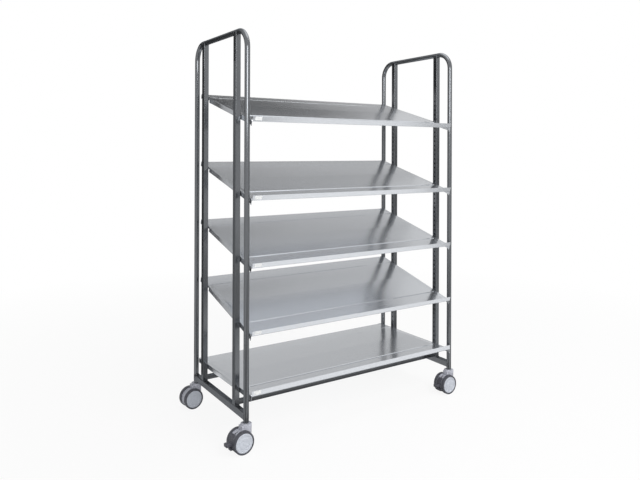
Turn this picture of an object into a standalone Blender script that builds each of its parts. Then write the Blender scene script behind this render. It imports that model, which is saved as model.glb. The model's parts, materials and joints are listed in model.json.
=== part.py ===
"""Book cart: five galvanised shelves between two tubular end frames on twin-wheel casters."""

import math

import bmesh
import bpy
from mathutils import Matrix, Vector

# Sizes are in metres. X runs along the shelves, Y from front to rear, Z up from the floor.

# End frames
FRAME_LENGTH = 1.2455  # between the middle planes of the two end frames
FRAME_DEPTH = 0.573  # between the middles of a hoop's two legs
HANDLE_TOP = 1.880  # top of the push handles
TUBE_DIAMETER = 0.025
TUBE_WALL = 0.0015
BEND_RADIUS = 0.083  # to the middle of the tube
BEND_STEPS = 7
TUBE_BEVEL_RESOLUTION = 4
TUBE_SIDES = 2 * (TUBE_BEVEL_RESOLUTION + 2)
COPE_STOP = 0.0035  # from the end of a bar that is coped to a tube to the middle of that tube

# Uprights, and the column of holes in the face that looks at the shelves
UPRIGHT_SPACING = 0.364  # between the middles of a frame's two uprights
UPRIGHT_WIDTH = 0.025  # along X
UPRIGHT_DEPTH = 0.028  # along Y
UPRIGHT_WALL = 0.0015
HOLE_SIDE = 0.008
HOLE_PITCH = 0.025
HOLE_START = 0.019  # from the top of the stretchers to the middle of the lowest hole
HOLES_TO_SPARE = 1  # above the highest peg

# Bottom rails and stretchers
RAIL_LIFT = 0.0115  # from the lower ends of the hoops up to the rails
RAIL_HEIGHT = 0.033
RAIL_WIDTH = 0.025
STRETCHER_SIDE = 0.022
BAR_WALL = 0.0015

# Shelves
SHEET = 0.001  # thickness of the galvanised sheet
SHELF_DEPTH = 0.602  # from the front of the lip to the rear flange
SHELF_OVERHANG = 0.1283  # from the pivot studs forward to the front of the lip
SHELF_END_GAP = 0.002  # between a side flange and the end frame beside it
PANEL_RISE = 0.011  # from the pivot studs up to the top of the panel
LIP_HEIGHT = 0.019
FLANGE_HEIGHT = 0.022
REAR_FLANGE_HEIGHT = 0.0165
CORNER_RELIEF = 0.004  # gap between the rear flange and the side flanges
BEAD_WIDTH = 0.011
BEAD_DEPTH = 0.0015
FRONT_BEAD = 0.111  # from the front of the lip to the first bead
REAR_BEAD = 0.097  # from the last bead to the rear edge
BEAD_END = 0.061  # from the shelf's ends to where the beads begin
BEAD_RUN_OUT = 0.013
SHELF_HOLES = (1, 13, 25, 37, 51)  # the hole that each shelf's studs sit in, counted from the lowest
TILT_HOLES = (0, 4, 4, 4, 4)  # how many holes higher each shelf's rear pegs sit

# Pivot studs and pegs
STUD_REACH = 0.008  # into the upright
STUD_HEAD_DIAMETER = 0.012
STUD_HEAD = 0.002
PEG_COLLAR_DIAMETER = 0.011
PEG_REACH = 0.012  # into the upright
PEG_NOSE = 0.006  # past the inside of a side flange
PEG_STEPS = 8
NOTCH_MARGIN = 0.003  # free length of the flange notch in front of and behind the peg

# Casters
WHEEL_DIAMETER = 0.100
WHEEL_WIDTH = 0.019
WHEEL_SPACING = 0.053  # between the middles of the two wheels
TYRE_THICKNESS = 0.007
TYRE_SHOULDER = 0.0035
DISC_BEVEL = 0.0015
WHEEL_STEPS = 20
TRAIL = 0.029  # from the swivel axis back to the axle
AXLE_DIAMETER = 0.008
AXLE_DEPTH = 0.014  # of the axle in each wheel
HEAD_DIAMETER = 0.0505
HEAD_RISE = 0.0206  # from the top of the wheels to the top of the head
HEAD_BEVEL = 0.002
SKIRT_HEIGHT = 0.050  # from the top of the head down to the skirt's lower edge
WHEEL_WELL_GAP = 0.0015
WEB_GAP = 0.0005  # between the web and each wheel
WEB_INSET = 0.004  # from the tread in to the rim of the web
WEB_NECK = 0.018  # ahead of the swivel axis
STEM_REACH = 0.050  # into the tube
STEM_COLLAR = 0.001
STEM_PIN_DIAMETER = 0.011
STEM_PIN_LENGTH = 0.036  # below the collar
CASTER_STEPS = 16

# Brake pedals, by angles about the axle: 0 points back along the trail, and 90 up
PEDAL_TOP_ANGLE = 38
PEDAL_BOTTOM_ANGLE = -45
PEDAL_THICKNESS = 0.010
PEDAL_WIDTH = 0.030
PEDAL_TONGUE = 0.008
PEDAL_BOSS_RADIUS = 0.0055
PEDAL_TREAD_ANGLE = -5
PEDAL_TREAD_OUT = 0.026  # past the tread of the wheels
PEDAL_TREAD_HEIGHT = 0.015
PEDAL_TREAD_WIDTH = 0.026
RELEASE_ANGLE = -30
RELEASE_OUT = 0.014  # past the tread of the wheels
RELEASE_HEIGHT = 0.010
RELEASE_WIDTH = 0.022
PEDAL_PIN_ANGLE = 60
PEDAL_PIN_DIAMETER = 0.004
PEDAL_SLOT_GAP = 0.006  # around the boss
PEDAL_SWING = 0.007  # free depth between the pedal and the web behind it
BRAKE_OPENING_TOP = 46
BRAKE_OPENING_BOTTOM = -75
ARC_STEP = 15  # degrees between the points of an arc

# Place of each caster: side along X, side along Y, resting turn in degrees, with a brake or not
CASTERS = {
    "front_left": (-1, -1, 5, True),
    "rear_left": (-1, 1, 5, False),
    "front_right": (1, -1, 1, True),
    "rear_right": (1, 1, 0, False),
}

FIT = 0.0003  # clearance between pieces that touch or turn in each other
OVERLAP = 0.002  # how far cutters and joined shapes run into each other
MERGE_DISTANCE = 0.000001  # points of a finished mesh closer than this become one
SEAM_DISTANCE = 0.00001  # the same where a turned profile closes on itself
SMOOTH_ANGLE = 35  # degrees, above which an edge of a round piece stays sharp

# Heights that follow from the sizes above, from the floor up
WHEEL_RADIUS = WHEEL_DIAMETER / 2
HEAD_TOP = WHEEL_DIAMETER + HEAD_RISE
SKIRT_BOTTOM = HEAD_TOP - SKIRT_HEIGHT
STEM_COLLAR_TOP = HEAD_TOP + FIT + STEM_COLLAR
FRAME_FOOT = STEM_COLLAR_TOP + FIT
RAIL_BOTTOM = FRAME_FOOT + RAIL_LIFT
RAIL_TOP = RAIL_BOTTOM + RAIL_HEIGHT
LOWEST_HOLE = RAIL_TOP + STRETCHER_SIDE + HOLE_START
HANDLE_HEIGHT = HANDLE_TOP - TUBE_DIAMETER / 2
UPRIGHT_TOP = HANDLE_HEIGHT - COPE_STOP
HOLE_COUNT = 1 + max(hole + rise for hole, rise in zip(SHELF_HOLES, TILT_HOLES)) + HOLES_TO_SPARE

# Other values that follow from the sizes above
TUBE_RADIUS = TUBE_DIAMETER / 2
FRONT_UPRIGHT_Y = -UPRIGHT_SPACING / 2
SHELF_LENGTH = FRAME_LENGTH - max(UPRIGHT_WIDTH, TUBE_DIAMETER) - 2 * SHELF_END_GAP
UPRIGHT_GAP = (FRAME_LENGTH - UPRIGHT_WIDTH - SHELF_LENGTH) / 2
PIN_DIAMETER = HOLE_SIDE - 2 * FIT  # of the studs and pegs that sit in the holes
PEG_COLLAR = UPRIGHT_GAP - 2 * FIT
LAST_BEAD = SHELF_DEPTH - REAR_BEAD
BEAD_PLACES = (FRONT_BEAD, (FRONT_BEAD + LAST_BEAD) / 2, LAST_BEAD)
STEM_COLLAR_DIAMETER = TUBE_DIAMETER - 2 * FIT
DISC_RADIUS = WHEEL_RADIUS - TYRE_THICKNESS - FIT
WEB_RADIUS = WHEEL_RADIUS - WEB_INSET
WEB_THICKNESS = WHEEL_SPACING - WHEEL_WIDTH - 2 * WEB_GAP
PEDAL_OUTER_RADIUS = WEB_RADIUS
PEDAL_INNER_RADIUS = PEDAL_OUTER_RADIUS - PEDAL_THICKNESS
PEDAL_PIN_RADIUS = (PEDAL_INNER_RADIUS + PEDAL_OUTER_RADIUS) / 2
PEDAL_TREAD_REACH = WHEEL_RADIUS + PEDAL_TREAD_OUT
RELEASE_REACH = WHEEL_RADIUS + RELEASE_OUT
BRAKE_WEB_RADIUS = PEDAL_INNER_RADIUS - PEDAL_SWING

# Finishes: colour, roughness and metallic value
FINISHES = {
    "painted_steel": ((0.142, 0.149, 0.158), 0.17, 0.85),
    "galvanised_sheet": ((0.64, 0.66, 0.695), 0.18, 0.9),
    "plated_steel": ((0.55, 0.55, 0.56), 0.30, 1.0),
    "grey_plastic": ((0.50, 0.51, 0.58), 0.45, 0.0),
    "disc_plastic": ((0.60, 0.63, 0.70), 0.40, 0.0),
    "tyre_rubber": ((0.066, 0.069, 0.088), 0.60, 0.0),
    "pedal_plastic": ((0.055, 0.057, 0.070), 0.50, 0.0),
}


def clear_scene():
    for item in list(bpy.data.objects):
        bpy.data.objects.remove(item)


def new_collection(name):
    made = bpy.data.collections.new(name)
    bpy.context.scene.collection.children.link(made)
    return made


def new_finish(name, colour, roughness, metallic):
    made = bpy.data.materials.new(name)
    made.use_nodes = True
    shader = made.node_tree.nodes["Principled BSDF"]
    shader.inputs["Base Color"].default_value = (*colour, 1)
    shader.inputs["Roughness"].default_value = roughness
    shader.inputs["Metallic"].default_value = metallic
    return made


clear_scene()
PARTS = new_collection("book_cart")
CUTTERS = new_collection("book_cart_cutters")
MATERIALS = {name: new_finish(name, *values) for name, values in FINISHES.items()}


def empty(name, parent=None, location=(0, 0, 0), rotation=(0, 0, 0)):
    made = bpy.data.objects.new(name, None)
    made.location = location
    made.rotation_euler = rotation
    made.parent = parent
    PARTS.objects.link(made)
    return made


def piece(name, data, finish, parent, location=(0, 0, 0), rotation=(0, 0, 0)):
    """One named sub-part of the cart, with its finish, on the parent that carries it."""
    data.materials.clear()
    data.materials.append(MATERIALS[finish])
    made = bpy.data.objects.new(name, data)
    made.location = location
    made.rotation_euler = rotation
    made.parent = parent
    PARTS.objects.link(made)
    return made


def add_block(shape, size, centre=(0, 0, 0)):
    place = Matrix.Translation(centre) @ Matrix.Diagonal((*size, 1))
    bmesh.ops.create_cube(shape, size=1, matrix=place)


def add_rod(shape, radius, length, centre, axis, steps=CASTER_STEPS):
    """A cylinder whose flats lie on the radius, so that a round piece inside it keeps its clearance."""
    turn = Vector((0, 0, 1)).rotation_difference(Vector(axis)).to_matrix().to_4x4()
    bmesh.ops.create_cone(
        shape,
        cap_ends=True,
        segments=steps,
        radius1=radius / math.cos(math.pi / steps),
        radius2=radius / math.cos(math.pi / steps),
        depth=length,
        matrix=Matrix.Translation(centre) @ turn,
    )


def as_mesh(shape, name):
    mesh = bpy.data.meshes.new(name)
    shape.to_mesh(mesh)
    shape.free()
    return mesh


def blank(name, data):
    """An object to carry modifiers until its finished mesh is taken."""
    made = bpy.data.objects.new(name, data)
    PARTS.objects.link(made)
    return made


def cutter(name, data):
    made = bpy.data.objects.new(name, data)
    made.hide_render = True
    made.display_type = "WIRE"
    CUTTERS.objects.link(made)
    return made


def combine(body, tool, operation="DIFFERENCE"):
    step = body.modifiers.new(tool.name, "BOOLEAN")
    step.object = tool
    step.operation = operation


def finished(source, smooth_angle=None):
    """The mesh of an object with its modifiers carried out. The object itself is removed."""
    name = source.name
    bpy.context.view_layer.update()
    graph = bpy.context.evaluated_depsgraph_get()
    mesh = bpy.data.meshes.new_from_object(source.evaluated_get(graph))
    shape = bmesh.new()
    shape.from_mesh(mesh)
    bmesh.ops.remove_doubles(shape, verts=shape.verts, dist=MERGE_DISTANCE)
    shape.to_mesh(mesh)
    shape.free()
    bpy.data.objects.remove(source)
    mesh.name = name
    if smooth_angle is not None:
        mesh.shade_smooth()
        mesh.set_sharp_from_angle(angle=math.radians(smooth_angle))
    return mesh


def turned(name, profile, steps, ring=False):
    """A profile of radius and height pairs, listed from the top, turned about Z with flats on the radii."""
    grow = 1 / math.cos(math.pi / steps)
    shape = bmesh.new()
    points = [shape.verts.new((radius * grow, 0, height)) for radius, height in profile]
    pairs = list(zip(points, points[1:]))
    if ring:
        pairs.append((points[-1], points[0]))
    for pair in pairs:
        shape.edges.new(pair)
    bmesh.ops.rotate(shape, verts=shape.verts, matrix=Matrix.Rotation(math.pi / steps, 3, "Z"))
    source = blank(name, as_mesh(shape, name))
    spin = source.modifiers.new("turn", "SCREW")
    spin.axis = "Z"
    spin.steps = steps
    spin.render_steps = steps
    spin.use_merge_vertices = True
    spin.merge_threshold = SEAM_DISTANCE
    return finished(source, smooth_angle=SMOOTH_ANGLE)


def extruded(name, outline, thickness):
    """A flat outline of X and Z pairs, standing upright and as thick as given along Y."""
    curve = bpy.data.curves.new(name, "CURVE")
    curve.dimensions = "2D"
    curve.fill_mode = "BOTH"
    curve.extrude = thickness / 2
    line = curve.splines.new("POLY")
    line.points.add(len(outline) - 1)
    for point, (x, z) in zip(line.points, outline):
        point.co = (x, z, 0, 1)
    line.use_cyclic_u = True
    mesh = finished(blank(name, curve))
    mesh.transform(Matrix.Rotation(math.pi / 2, 4, "X"))
    return mesh


# End frames


def hoop_curve(name):
    """An inverted U of tube, from the front foot over the handle to the rear foot."""
    half = FRAME_DEPTH / 2
    points = [Vector((0, -half, FRAME_FOOT))]
    for side in (-1, 1):
        centre = Vector((0, side * (half - BEND_RADIUS), HANDLE_HEIGHT - BEND_RADIUS))
        for step in range(BEND_STEPS + 1):
            share = step / BEND_STEPS if side < 0 else 1 - step / BEND_STEPS
            angle = share * math.pi / 2
            points.append(centre + BEND_RADIUS * Vector((0, side * math.cos(angle), math.sin(angle))))
    points.append(Vector((0, half, FRAME_FOOT)))
    curve = bpy.data.curves.new(name, "CURVE")
    curve.dimensions = "3D"
    curve.bevel_depth = TUBE_RADIUS
    curve.bevel_resolution = TUBE_BEVEL_RESOLUTION
    line = curve.splines.new("POLY")
    line.points.add(len(points) - 1)
    for point, place in zip(line.points, points):
        point.co = (*place, 1)
    line.use_smooth = True
    return curve


def hoop(name, parent, x):
    made = piece(name, hoop_curve(name), "painted_steel", parent, (x, 0, 0))
    wall = made.modifiers.new("tube wall", "SOLIDIFY")
    wall.thickness = TUBE_WALL
    wall.offset = -1
    wall.use_even_offset = True


def hole_height(number):
    return LOWEST_HOLE + number * HOLE_PITCH


def upright_mesh():
    """A rectangular tube with holes in its +X face, standing on the rail and coped to the handle."""
    bottom = RAIL_TOP + FIT
    middle = (0, 0, (UPRIGHT_TOP + bottom) / 2)
    height = UPRIGHT_TOP - bottom
    outside = bmesh.new()
    add_block(outside, (UPRIGHT_WIDTH, UPRIGHT_DEPTH, height), middle)
    body = blank("upright", as_mesh(outside, "upright"))

    bore = bmesh.new()
    inner = (UPRIGHT_WIDTH - 2 * UPRIGHT_WALL, UPRIGHT_DEPTH - 2 * UPRIGHT_WALL)
    add_block(bore, (*inner, height + 2 * OVERLAP), middle)
    combine(body, cutter("upright_bore", as_mesh(bore, "upright_bore")))

    holes = bmesh.new()
    depth = UPRIGHT_WALL + 2 * OVERLAP
    face = (UPRIGHT_WIDTH - UPRIGHT_WALL) / 2
    for number in range(HOLE_COUNT):
        add_block(holes, (depth, HOLE_SIDE, HOLE_SIDE), (face, 0, hole_height(number)))
    combine(body, cutter("upright_holes", as_mesh(holes, "upright_holes")))

    saddle = bmesh.new()
    add_rod(saddle, TUBE_RADIUS + FIT, 2 * UPRIGHT_DEPTH, (0, 0, HANDLE_HEIGHT), (0, 1, 0))
    combine(body, cutter("upright_saddle", as_mesh(saddle, "upright_saddle")))
    return finished(body)


def rail_mesh():
    """A rectangular tube along Y, coped to the two legs of its hoop."""
    middle = (0, 0, RAIL_BOTTOM + RAIL_HEIGHT / 2)
    length = FRAME_DEPTH - 2 * COPE_STOP
    outside = bmesh.new()
    add_block(outside, (RAIL_WIDTH, length, RAIL_HEIGHT), middle)
    body = blank("rail", as_mesh(outside, "rail"))

    bore = bmesh.new()
    inner = (RAIL_WIDTH - 2 * BAR_WALL, RAIL_HEIGHT - 2 * BAR_WALL)
    add_block(bore, (inner[0], length + 2 * OVERLAP, inner[1]), middle)
    combine(body, cutter("rail_bore", as_mesh(bore, "rail_bore")))

    legs = bmesh.new()
    for side in (-1, 1):
        place = (0, side * FRAME_DEPTH / 2, middle[2])
        add_rod(legs, TUBE_RADIUS + FIT, 2 * RAIL_HEIGHT, place, (0, 0, 1))
    combine(body, cutter("rail_legs", as_mesh(legs, "rail_legs")))
    return finished(body)


def stretcher_mesh():
    """A square tube along X between the uprights, just above the rails."""
    length = FRAME_LENGTH - UPRIGHT_WIDTH - 2 * FIT
    middle = (0, 0, RAIL_TOP + STRETCHER_SIDE / 2)
    outside = bmesh.new()
    add_block(outside, (length, STRETCHER_SIDE, STRETCHER_SIDE), middle)
    body = blank("stretcher", as_mesh(outside, "stretcher"))
    bore = bmesh.new()
    inner = STRETCHER_SIDE - 2 * BAR_WALL
    add_block(bore, (length + 2 * OVERLAP, inner, inner), middle)
    combine(body, cutter("stretcher_bore", as_mesh(bore, "stretcher_bore")))
    return finished(body)


def build_frames(root):
    upright = upright_mesh()
    rail = rail_mesh()
    stretcher = stretcher_mesh()
    for side, word in ((-1, "left"), (1, "right")):
        x = side * FRAME_LENGTH / 2
        facing = (0, 0, 0 if side < 0 else math.pi)
        hoop(f"{word}_hoop", root, x)
        piece(f"{word}_rail", rail, "painted_steel", root, (x, 0, 0))
        for place, end in ((FRONT_UPRIGHT_Y, "front"), (-FRONT_UPRIGHT_Y, "rear")):
            piece(f"{end}_{word}_upright", upright, "painted_steel", root, (x, place, 0), facing)
    for place, end in ((FRONT_UPRIGHT_Y, "front"), (-FRONT_UPRIGHT_Y, "rear")):
        piece(f"{end}_stretcher", stretcher, "painted_steel", root, (0, place, 0))


# Shelves and pegs


def shelf_sheet():
    """The shelf's upper face as an open sheet about its studs: lip, beaded panel and three flanges."""
    lip_y = SHEET - SHELF_OVERHANG
    rear_y = SHELF_DEPTH - SHELF_OVERHANG
    rows = [(lip_y, PANEL_RISE + LIP_HEIGHT, False), (lip_y, PANEL_RISE, False)]
    for place in BEAD_PLACES:
        middle = place - SHELF_OVERHANG
        rows.append((middle - BEAD_WIDTH / 2, PANEL_RISE, False))
        rows.append((middle, PANEL_RISE, True))
        rows.append((middle + BEAD_WIDTH / 2, PANEL_RISE, False))
    rows.append((rear_y, PANEL_RISE, False))

    half = SHELF_LENGTH / 2
    steps = (half, half - CORNER_RELIEF, half - BEAD_END, half - BEAD_END - BEAD_RUN_OUT)
    stations = [-step for step in steps] + [step for step in reversed(steps)]
    bead_end = steps[-1]

    shape = bmesh.new()
    grid = []
    for x in stations:
        pressed = BEAD_DEPTH if abs(x) <= bead_end else 0
        grid.append([shape.verts.new((x, y, z - pressed * in_bead)) for y, z, in_bead in rows])
    for left, right in zip(grid, grid[1:]):
        for row in range(len(rows) - 1):
            shape.faces.new((left[row], right[row], right[row + 1], left[row + 1]))

    rear_edges = [shape.edges.get((a[-1], b[-1])) for a, b in zip(grid[1:-1], grid[2:-1])]
    fold_down(shape, rear_edges, REAR_FLANGE_HEIGHT)
    for end in (grid[0], grid[-1]):
        side_edges = [shape.edges.get(pair) for pair in zip(end[1:], end[2:])]
        fold_down(shape, side_edges, FLANGE_HEIGHT)
    bmesh.ops.recalc_face_normals(shape, faces=shape.faces)
    return as_mesh(shape, "shelf")


def fold_down(shape, edges, height):
    grown = bmesh.ops.extrude_edge_only(shape, edges=edges)["geom"]
    corners = [part for part in grown if isinstance(part, bmesh.types.BMVert)]
    bmesh.ops.translate(shape, verts=corners, vec=(0, 0, -height))


def shelf_mesh():
    """One folded sheet with a pivot stud riveted in each side flange, and a notch over each rear peg."""
    sheet = shelf_sheet()
    upwards = max(sheet.polygons, key=lambda face: face.area).normal.z > 0
    body = blank("shelf", sheet)
    wall = body.modifiers.new("sheet", "SOLIDIFY")
    wall.thickness = SHEET
    wall.offset = -1 if upwards else 1
    wall.use_even_offset = True

    studs = bmesh.new()
    radius = PIN_DIAMETER / 2 * math.cos(math.pi / PEG_STEPS)
    for side in (-1, 1):
        face = SHELF_LENGTH / 2
        inner = face - SHEET - STUD_HEAD
        outer = face + UPRIGHT_GAP + STUD_REACH
        middle = (side * (inner + outer) / 2, 0, 0)
        add_rod(studs, radius, outer - inner, middle, (1, 0, 0), PEG_STEPS)
    combine(body, cutter("shelf_studs", as_mesh(studs, "shelf_studs")), "UNION")

    heads = bmesh.new()
    for side in (-1, 1):
        depth = STUD_HEAD + SHEET / 2
        middle = (side * (SHELF_LENGTH / 2 - SHEET / 2 - depth / 2), 0, 0)
        add_rod(heads, STUD_HEAD_DIAMETER / 2, depth, middle, (1, 0, 0), PEG_STEPS)
    combine(body, cutter("shelf_stud_heads", as_mesh(heads, "shelf_stud_heads")), "UNION")

    farthest = max(math.hypot(UPRIGHT_SPACING, holes * HOLE_PITCH) for holes in TILT_HOLES)
    front = UPRIGHT_SPACING - PIN_DIAMETER / 2 - NOTCH_MARGIN
    rear = farthest + PIN_DIAMETER / 2 + NOTCH_MARGIN
    top = PIN_DIAMETER / 2 + FIT
    bottom = PANEL_RISE - FLANGE_HEIGHT - OVERLAP
    notch = bmesh.new()
    size = (SHELF_LENGTH + 2 * OVERLAP, rear - front, top - bottom)
    add_block(notch, size, (0, (front + rear) / 2, (top + bottom) / 2))
    combine(body, cutter("shelf_notch", as_mesh(notch, "shelf_notch")))
    return finished(body)


def peg_mesh():
    """A turned peg along Z, from inside the upright at -Z to past the shelf's flange at +Z."""
    radius = PIN_DIAMETER / 2 * math.cos(math.pi / PEG_STEPS)
    collar = PEG_COLLAR_DIAMETER / 2
    tip = UPRIGHT_GAP + SHEET + PEG_NOSE
    profile = [
        (0, tip),
        (radius, tip),
        (radius, FIT + PEG_COLLAR),
        (collar, FIT + PEG_COLLAR),
        (collar, FIT),
        (radius, FIT),
        (radius, -PEG_REACH),
        (0, -PEG_REACH),
    ]
    return turned("peg", profile, PEG_STEPS)


def build_shelves(root):
    shelf = shelf_mesh()
    peg = peg_mesh()
    for number, (hole, rise) in enumerate(zip(SHELF_HOLES, TILT_HOLES), start=1):
        tilt = math.atan2(rise * HOLE_PITCH, UPRIGHT_SPACING)
        place = (0, FRONT_UPRIGHT_Y, hole_height(hole))
        piece(f"shelf_{number}", shelf, "galvanised_sheet", root, place, (tilt, 0, 0))
        for side, word in ((-1, "left"), (1, "right")):
            x = side * (FRAME_LENGTH - UPRIGHT_WIDTH) / 2
            place = (x, -FRONT_UPRIGHT_Y, hole_height(hole + rise))
            facing = (0, -side * math.pi / 2, 0)
            piece(f"{word}_peg_{number}", peg, "plated_steel", root, place, facing)


# Casters, about the swivel axis, with the wheels trailing to -X


def about_axle(radius, degrees):
    """X and Z of a point about the axle, by its radius and its angle up from the trailing side."""
    angle = math.radians(degrees)
    return -TRAIL - radius * math.cos(angle), WHEEL_RADIUS + radius * math.sin(angle)


def arc(radius, start, end):
    """Points on an arc about the axle, from the start angle to the end angle in degrees."""
    count = max(1, round(abs(end - start) / ARC_STEP))
    return [about_axle(radius, start + (end - start) * step / count) for step in range(count + 1)]


def disc_mesh():
    """A wheel disc along Z with its outer face at +Z and a blind bore for the axle."""
    face = WHEEL_WIDTH / 2
    bore = AXLE_DIAMETER / 2 + FIT
    bore_end = AXLE_DEPTH - face + FIT
    profile = [
        (0, face),
        (DISC_RADIUS - 2 * DISC_BEVEL, face),
        (DISC_RADIUS, face - DISC_BEVEL),
        (DISC_RADIUS, -face),
        (bore, -face),
        (bore, bore_end),
        (0, bore_end),
    ]
    return turned("disc", profile, WHEEL_STEPS)


def tyre_mesh():
    face = WHEEL_WIDTH / 2
    inner = WHEEL_RADIUS - TYRE_THICKNESS
    profile = [
        (inner, face),
        (WHEEL_RADIUS - TYRE_SHOULDER, face),
        (WHEEL_RADIUS, face - TYRE_SHOULDER),
        (WHEEL_RADIUS, TYRE_SHOULDER - face),
        (WHEEL_RADIUS - TYRE_SHOULDER, -face),
        (inner, -face),
    ]
    return turned("tyre", profile, WHEEL_STEPS, ring=True)


def axle_mesh():
    length = WHEEL_SPACING - WHEEL_WIDTH + 2 * AXLE_DEPTH
    radius = AXLE_DIAMETER / 2 * math.cos(math.pi / CASTER_STEPS)
    profile = [(0, length / 2), (radius, length / 2), (radius, -length / 2), (0, -length / 2)]
    return turned("axle", profile, CASTER_STEPS)


def stem_mesh():
    """A turned pin: its upper part sits in the tube, and the housing turns on its lower part."""
    flats = math.cos(math.pi / CASTER_STEPS)
    in_tube = (TUBE_RADIUS * math.cos(math.pi / TUBE_SIDES) - TUBE_WALL - FIT) * flats
    pin = STEM_PIN_DIAMETER / 2 * flats
    collar = STEM_COLLAR_DIAMETER / 2 * flats
    collar_bottom = STEM_COLLAR_TOP - STEM_COLLAR
    profile = [
        (0, FRAME_FOOT + STEM_REACH),
        (in_tube, FRAME_FOOT + STEM_REACH),
        (in_tube, STEM_COLLAR_TOP),
        (collar, STEM_COLLAR_TOP),
        (collar, collar_bottom),
        (pin, collar_bottom),
        (pin, collar_bottom - STEM_PIN_LENGTH),
        (0, collar_bottom - STEM_PIN_LENGTH),
    ]
    return turned("stem", profile, CASTER_STEPS)


def housing_mesh(braked):
    """Head and skirt over the wheels, and the web between them, open behind where a pedal swings."""
    name = "braked_housing" if braked else "housing"
    head = HEAD_DIAMETER / 2
    profile = [
        (0, HEAD_TOP),
        (head - HEAD_BEVEL, HEAD_TOP),
        (head, HEAD_TOP - HEAD_BEVEL),
        (head, SKIRT_BOTTOM),
        (0, SKIRT_BOTTOM),
    ]
    body = blank(name, turned(f"{name}_head", profile, CASTER_STEPS))

    wells = bmesh.new()
    for side in (-1, 1):
        middle = (-TRAIL, side * (WEB_THICKNESS + HEAD_DIAMETER) / 2, WHEEL_RADIUS)
        add_rod(wells, WHEEL_RADIUS + WHEEL_WELL_GAP, HEAD_DIAMETER, middle, (0, 1, 0), 2 * CASTER_STEPS)
    combine(body, cutter(f"{name}_wells", as_mesh(wells, f"{name}_wells")))

    outline = arc(WEB_RADIUS, 0, 360)[:-1]
    if braked:
        rim = arc(WEB_RADIUS, BRAKE_OPENING_TOP, BRAKE_OPENING_BOTTOM + 360)
        outline = rim + arc(BRAKE_WEB_RADIUS, BRAKE_OPENING_BOTTOM, BRAKE_OPENING_TOP)
    web = extruded(f"{name}_web", outline, WEB_THICKNESS)
    combine(body, cutter(f"{name}_web", web), "UNION")

    neck = bmesh.new()
    bottom, top = WHEEL_RADIUS, HEAD_TOP - HEAD_BEVEL - OVERLAP
    size = (TRAIL + WEB_NECK, WEB_THICKNESS - 2 * WEB_GAP, top - bottom)
    add_block(neck, size, ((WEB_NECK - TRAIL) / 2, 0, (top + bottom) / 2))
    combine(body, cutter(f"{name}_neck", as_mesh(neck, f"{name}_neck")), "UNION")

    bores = bmesh.new()
    pin_bottom = STEM_COLLAR_TOP - STEM_COLLAR - STEM_PIN_LENGTH - FIT
    length = HEAD_TOP + OVERLAP - pin_bottom
    add_rod(bores, STEM_PIN_DIAMETER / 2 + FIT, length, (0, 0, pin_bottom + length / 2), (0, 0, 1))
    axle_place = (-TRAIL, 0, WHEEL_RADIUS)
    add_rod(bores, AXLE_DIAMETER / 2 + FIT, WHEEL_SPACING, axle_place, (0, 1, 0))
    combine(body, cutter(f"{name}_bores", as_mesh(bores, f"{name}_bores")))

    if braked:
        x, z = about_axle(PEDAL_PIN_RADIUS, PEDAL_PIN_ANGLE)
        slot = bmesh.new()
        width = PEDAL_TONGUE + 4 * FIT
        add_rod(slot, PEDAL_BOSS_RADIUS + PEDAL_SLOT_GAP, width, (x, 0, z), (0, 1, 0))
        combine(body, cutter(f"{name}_slot", as_mesh(slot, f"{name}_slot")))
        pin = bmesh.new()
        add_rod(pin, PEDAL_PIN_DIAMETER / 2 + FIT, WHEEL_SPACING, (x, 0, z), (0, 1, 0))
        combine(body, cutter(f"{name}_pin_bore", as_mesh(pin, f"{name}_pin_bore")))
    return finished(body, smooth_angle=SMOOTH_ANGLE)


def add_lug(shape, angle, reach, width, height):
    """A block that sticks out of the pedal, level with the given angle and out to the given radius."""
    tip, _ = about_axle(reach, angle)
    root, middle = about_axle(PEDAL_OUTER_RADIUS - 2 * OVERLAP, angle)
    add_block(shape, (root - tip, width, height), ((root + tip) / 2, 0, middle))


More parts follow.
